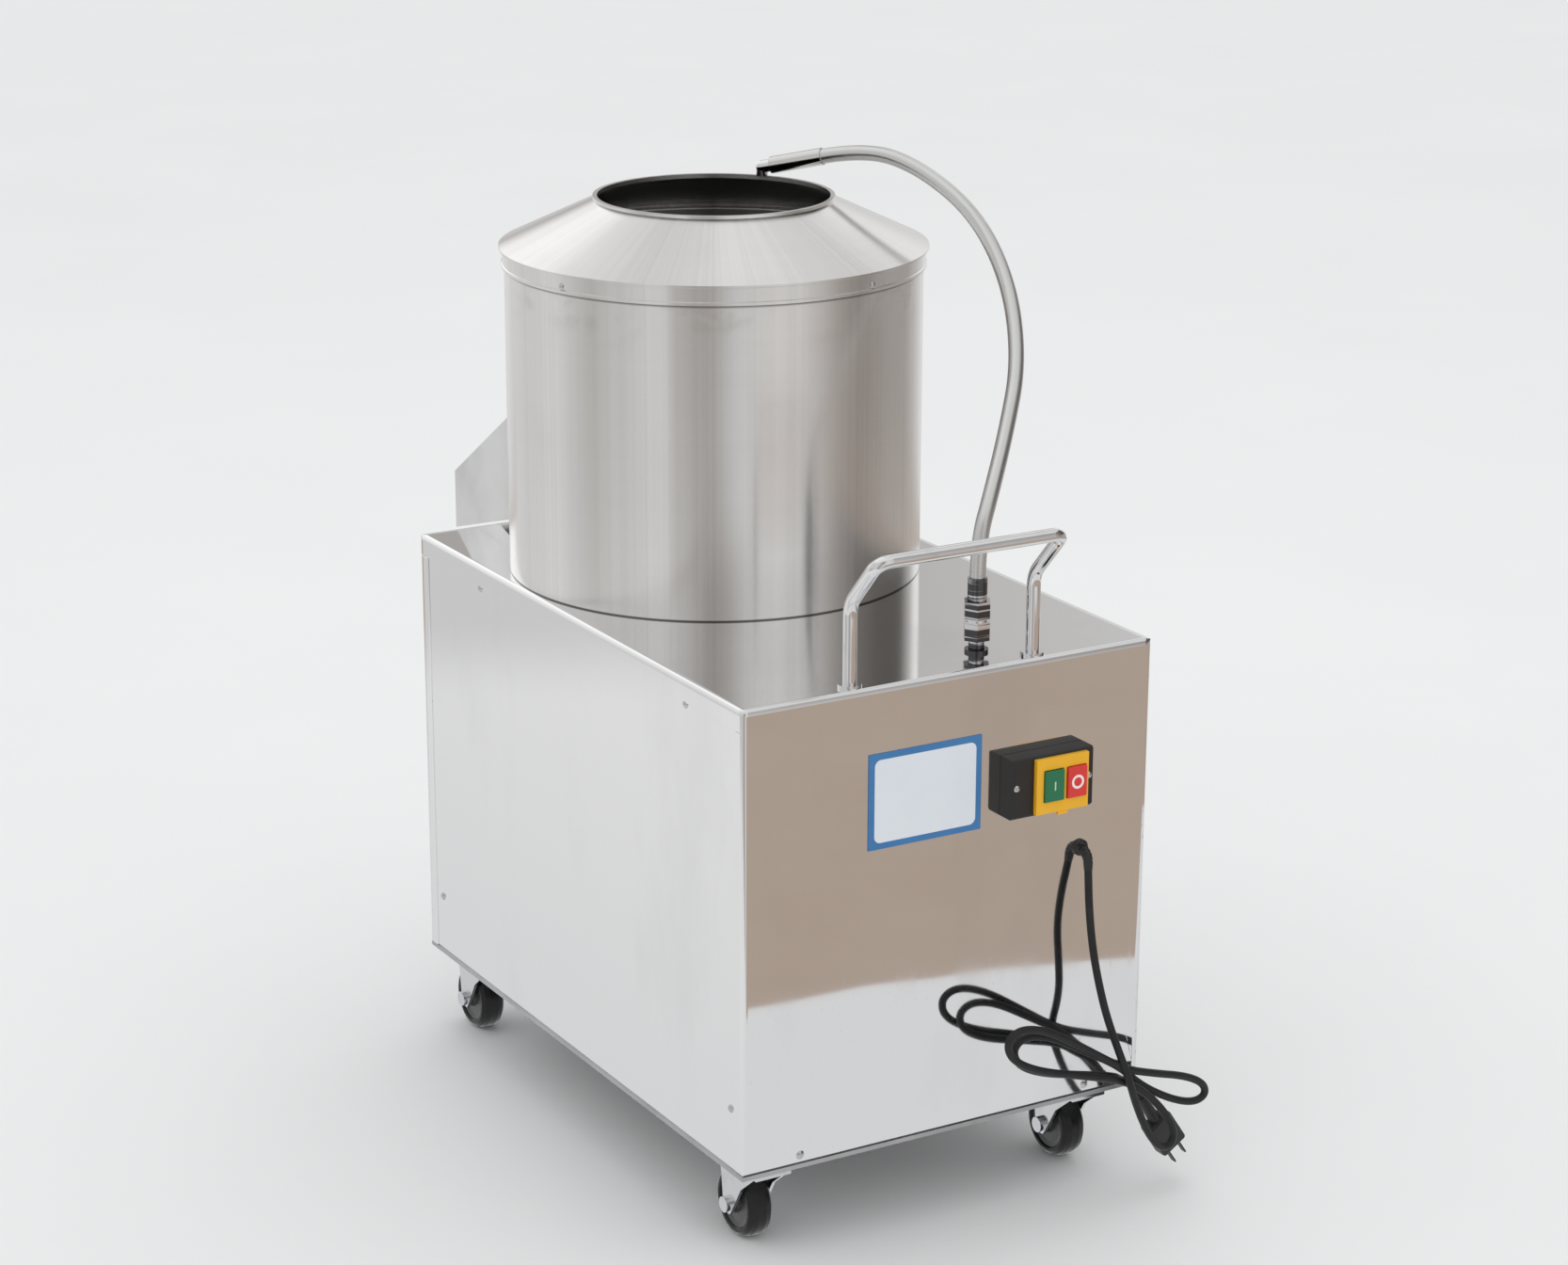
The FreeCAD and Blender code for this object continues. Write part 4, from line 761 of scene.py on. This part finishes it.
def ceiling_tone(direction):
    """The ceiling, with the lamps and gaps that draw rays on the cone."""
    return tone_ramp(direction, [
        (-180, 0.80), (20, 0.70), (28, 0.42), (32, 0.40), (35, 0.62), (39, 0.98), (46, 0.90),
        (60, 0.80), (70, 0.72), (78, 0.58), (82, 0.56), (85, 0.72), (88, 0.88), (95, 0.95),
        (130, 0.90), (180, 0.80)])


world = bpy.data.worlds.new("studio")
scene.world = world
world.use_nodes = True
tree = world.node_tree
tree.nodes.clear()
sky_out = tree.nodes.new("ShaderNodeOutputWorld")
ray = tree.nodes.new("ShaderNodeLightPath")
sky_at = Wire(tree, tree.nodes.new("ShaderNodeTexCoord").outputs["Generated"])
sees = Wire(tree, ray.outputs["Is Camera Ray"])
gloss = Wire(tree, ray.outputs["Is Glossy Ray"])
sky_z = sky_at.parts()[2]
walls = sky_z.rise(-0.02, 0.06).blend(studio_tone(sky_at), upper_tone(sky_at))
room = sky_z.rise(0.54, 0.72).blend(walls, ceiling_tone(sky_at))
PAPER = rgb(0.80, 0.81, 0.81)
colour = sees.blend(gloss.blend(rgb(0.93, 0.93, 0.935), room), PAPER)
shine = colour.make("ShaderNodeBackground", {}, {"Color": colour, "Strength": 1.0})
tree.links.new(shine.socket, sky_out.inputs["Surface"])


def soft_lamp(name, place, aim, size, power):
    data = bpy.data.lights.new(name, "AREA")
    data.shape = "RECTANGLE"
    data.size, data.size_y = size
    data.energy = power
    lamp = bpy.data.objects.new(name, data)
    scene.collection.objects.link(lamp)
    way = Vector(place) - Vector(aim)
    facing = way.to_track_quat("Z", "Y").to_matrix().to_4x4()
    lamp.matrix_world = Matrix.Translation(Vector(place)) @ facing
    lamp.visible_glossy = False


soft_lamp("lamp_over", (0.6, 0.6, 3.4), (0, 0, 0.4), (2.6, 2.6), 9.0)
soft_lamp("lamp_side", (-2.6, 0.4, 2.2), (0, 0, 0.5), (1.8, 1.8), 2.0)
soft_lamp("lamp_front", (0.8, -3.0, 2.2), (0, 0, 0.4), (2.0, 2.0), 2.0)


def make_floor():
    """Pale paper. To glossy rays it glows with a painted reflection instead: white near the
    machine, a brown board, and the room's tones beyond.
    """
    mesh = bpy.data.meshes.new("floor")
    mesh.from_pydata([(-40, -40, 0), (40, -40, 0), (40, 40, 0), (-40, 40, 0)], [], [(0, 1, 2, 3)])
    floor = bpy.data.objects.new("floor", mesh)
    scene.collection.objects.link(floor)
    material, shader, at = new_finish("paper_floor")
    tree = material.node_tree
    px, py, pz = at.parts()
    crease = at.noise(1.6, 3.0, 0.6)
    wire_in(shader, Base_Color=crease.blend(rgb(0.84, 0.85, 0.85), rgb(0.88, 0.885, 0.885)),
            Roughness=0.9, Specular_IOR_Level=0.0, bump=(crease, 0.15, 0.02))
    # Painted reflection, shown only to glossy rays: white paper near the machine, a brown board
    # beyond it, the room's tones farther out.
    wobble = at.noise(3.0, 2.0, 0.5) * 0.07 - 0.035
    dip = px.math("MAXIMUM", px - 0.3, 0.0)
    near_front = (py - px * 0.19 - dip * dip * 0.35 + wobble).rise(-0.870, -0.864)
    away = (px * px + py * py) ** 0.5
    paper = near_front * (1.0 - away.rise(1.35, 1.75))
    painted_board = (1.0 - away.rise(2.1, 2.25)) * px.rise(-0.4, -0.15)
    white = px.rise(-0.9, -0.1).blend(rgb(0.80, 0.80, 0.80), rgb(0.72, 0.725, 0.73))
    brown = at.noise(5.0, 3.0, 0.6).blend(rgb(0.47, 0.385, 0.325), rgb(0.42, 0.335, 0.275))
    coming = Wire(tree, tree.nodes.new("ShaderNodeNewGeometry").outputs["Incoming"])
    going = coming.vector("MULTIPLY", coming, (-1, -1, -1))
    painted_reflection = paper.blend(painted_board.blend(studio_tone(going), brown), white)
    # The floor glows with this painted reflection, though it is no lamp.
    painted_reflection_glow = painted_reflection.make("ShaderNodeEmission", {}, {"Color": painted_reflection, "Strength": 1.0})
    ray = Wire(tree, tree.nodes.new("ShaderNodeLightPath").outputs["Is Glossy Ray"])
    lit = Wire(tree, shader.outputs[0])
    # Glossy rays see the painted reflection glow, all other rays the lit paper.
    both = ray.make("ShaderNodeMixShader", {}, {0: ray, 1: lit, 2: painted_reflection_glow})
    tree.links.new(both.socket, tree.nodes["Material Output"].inputs["Surface"])
    mesh.materials.append(material)


make_floor()

bpy.context.view_layer.update()
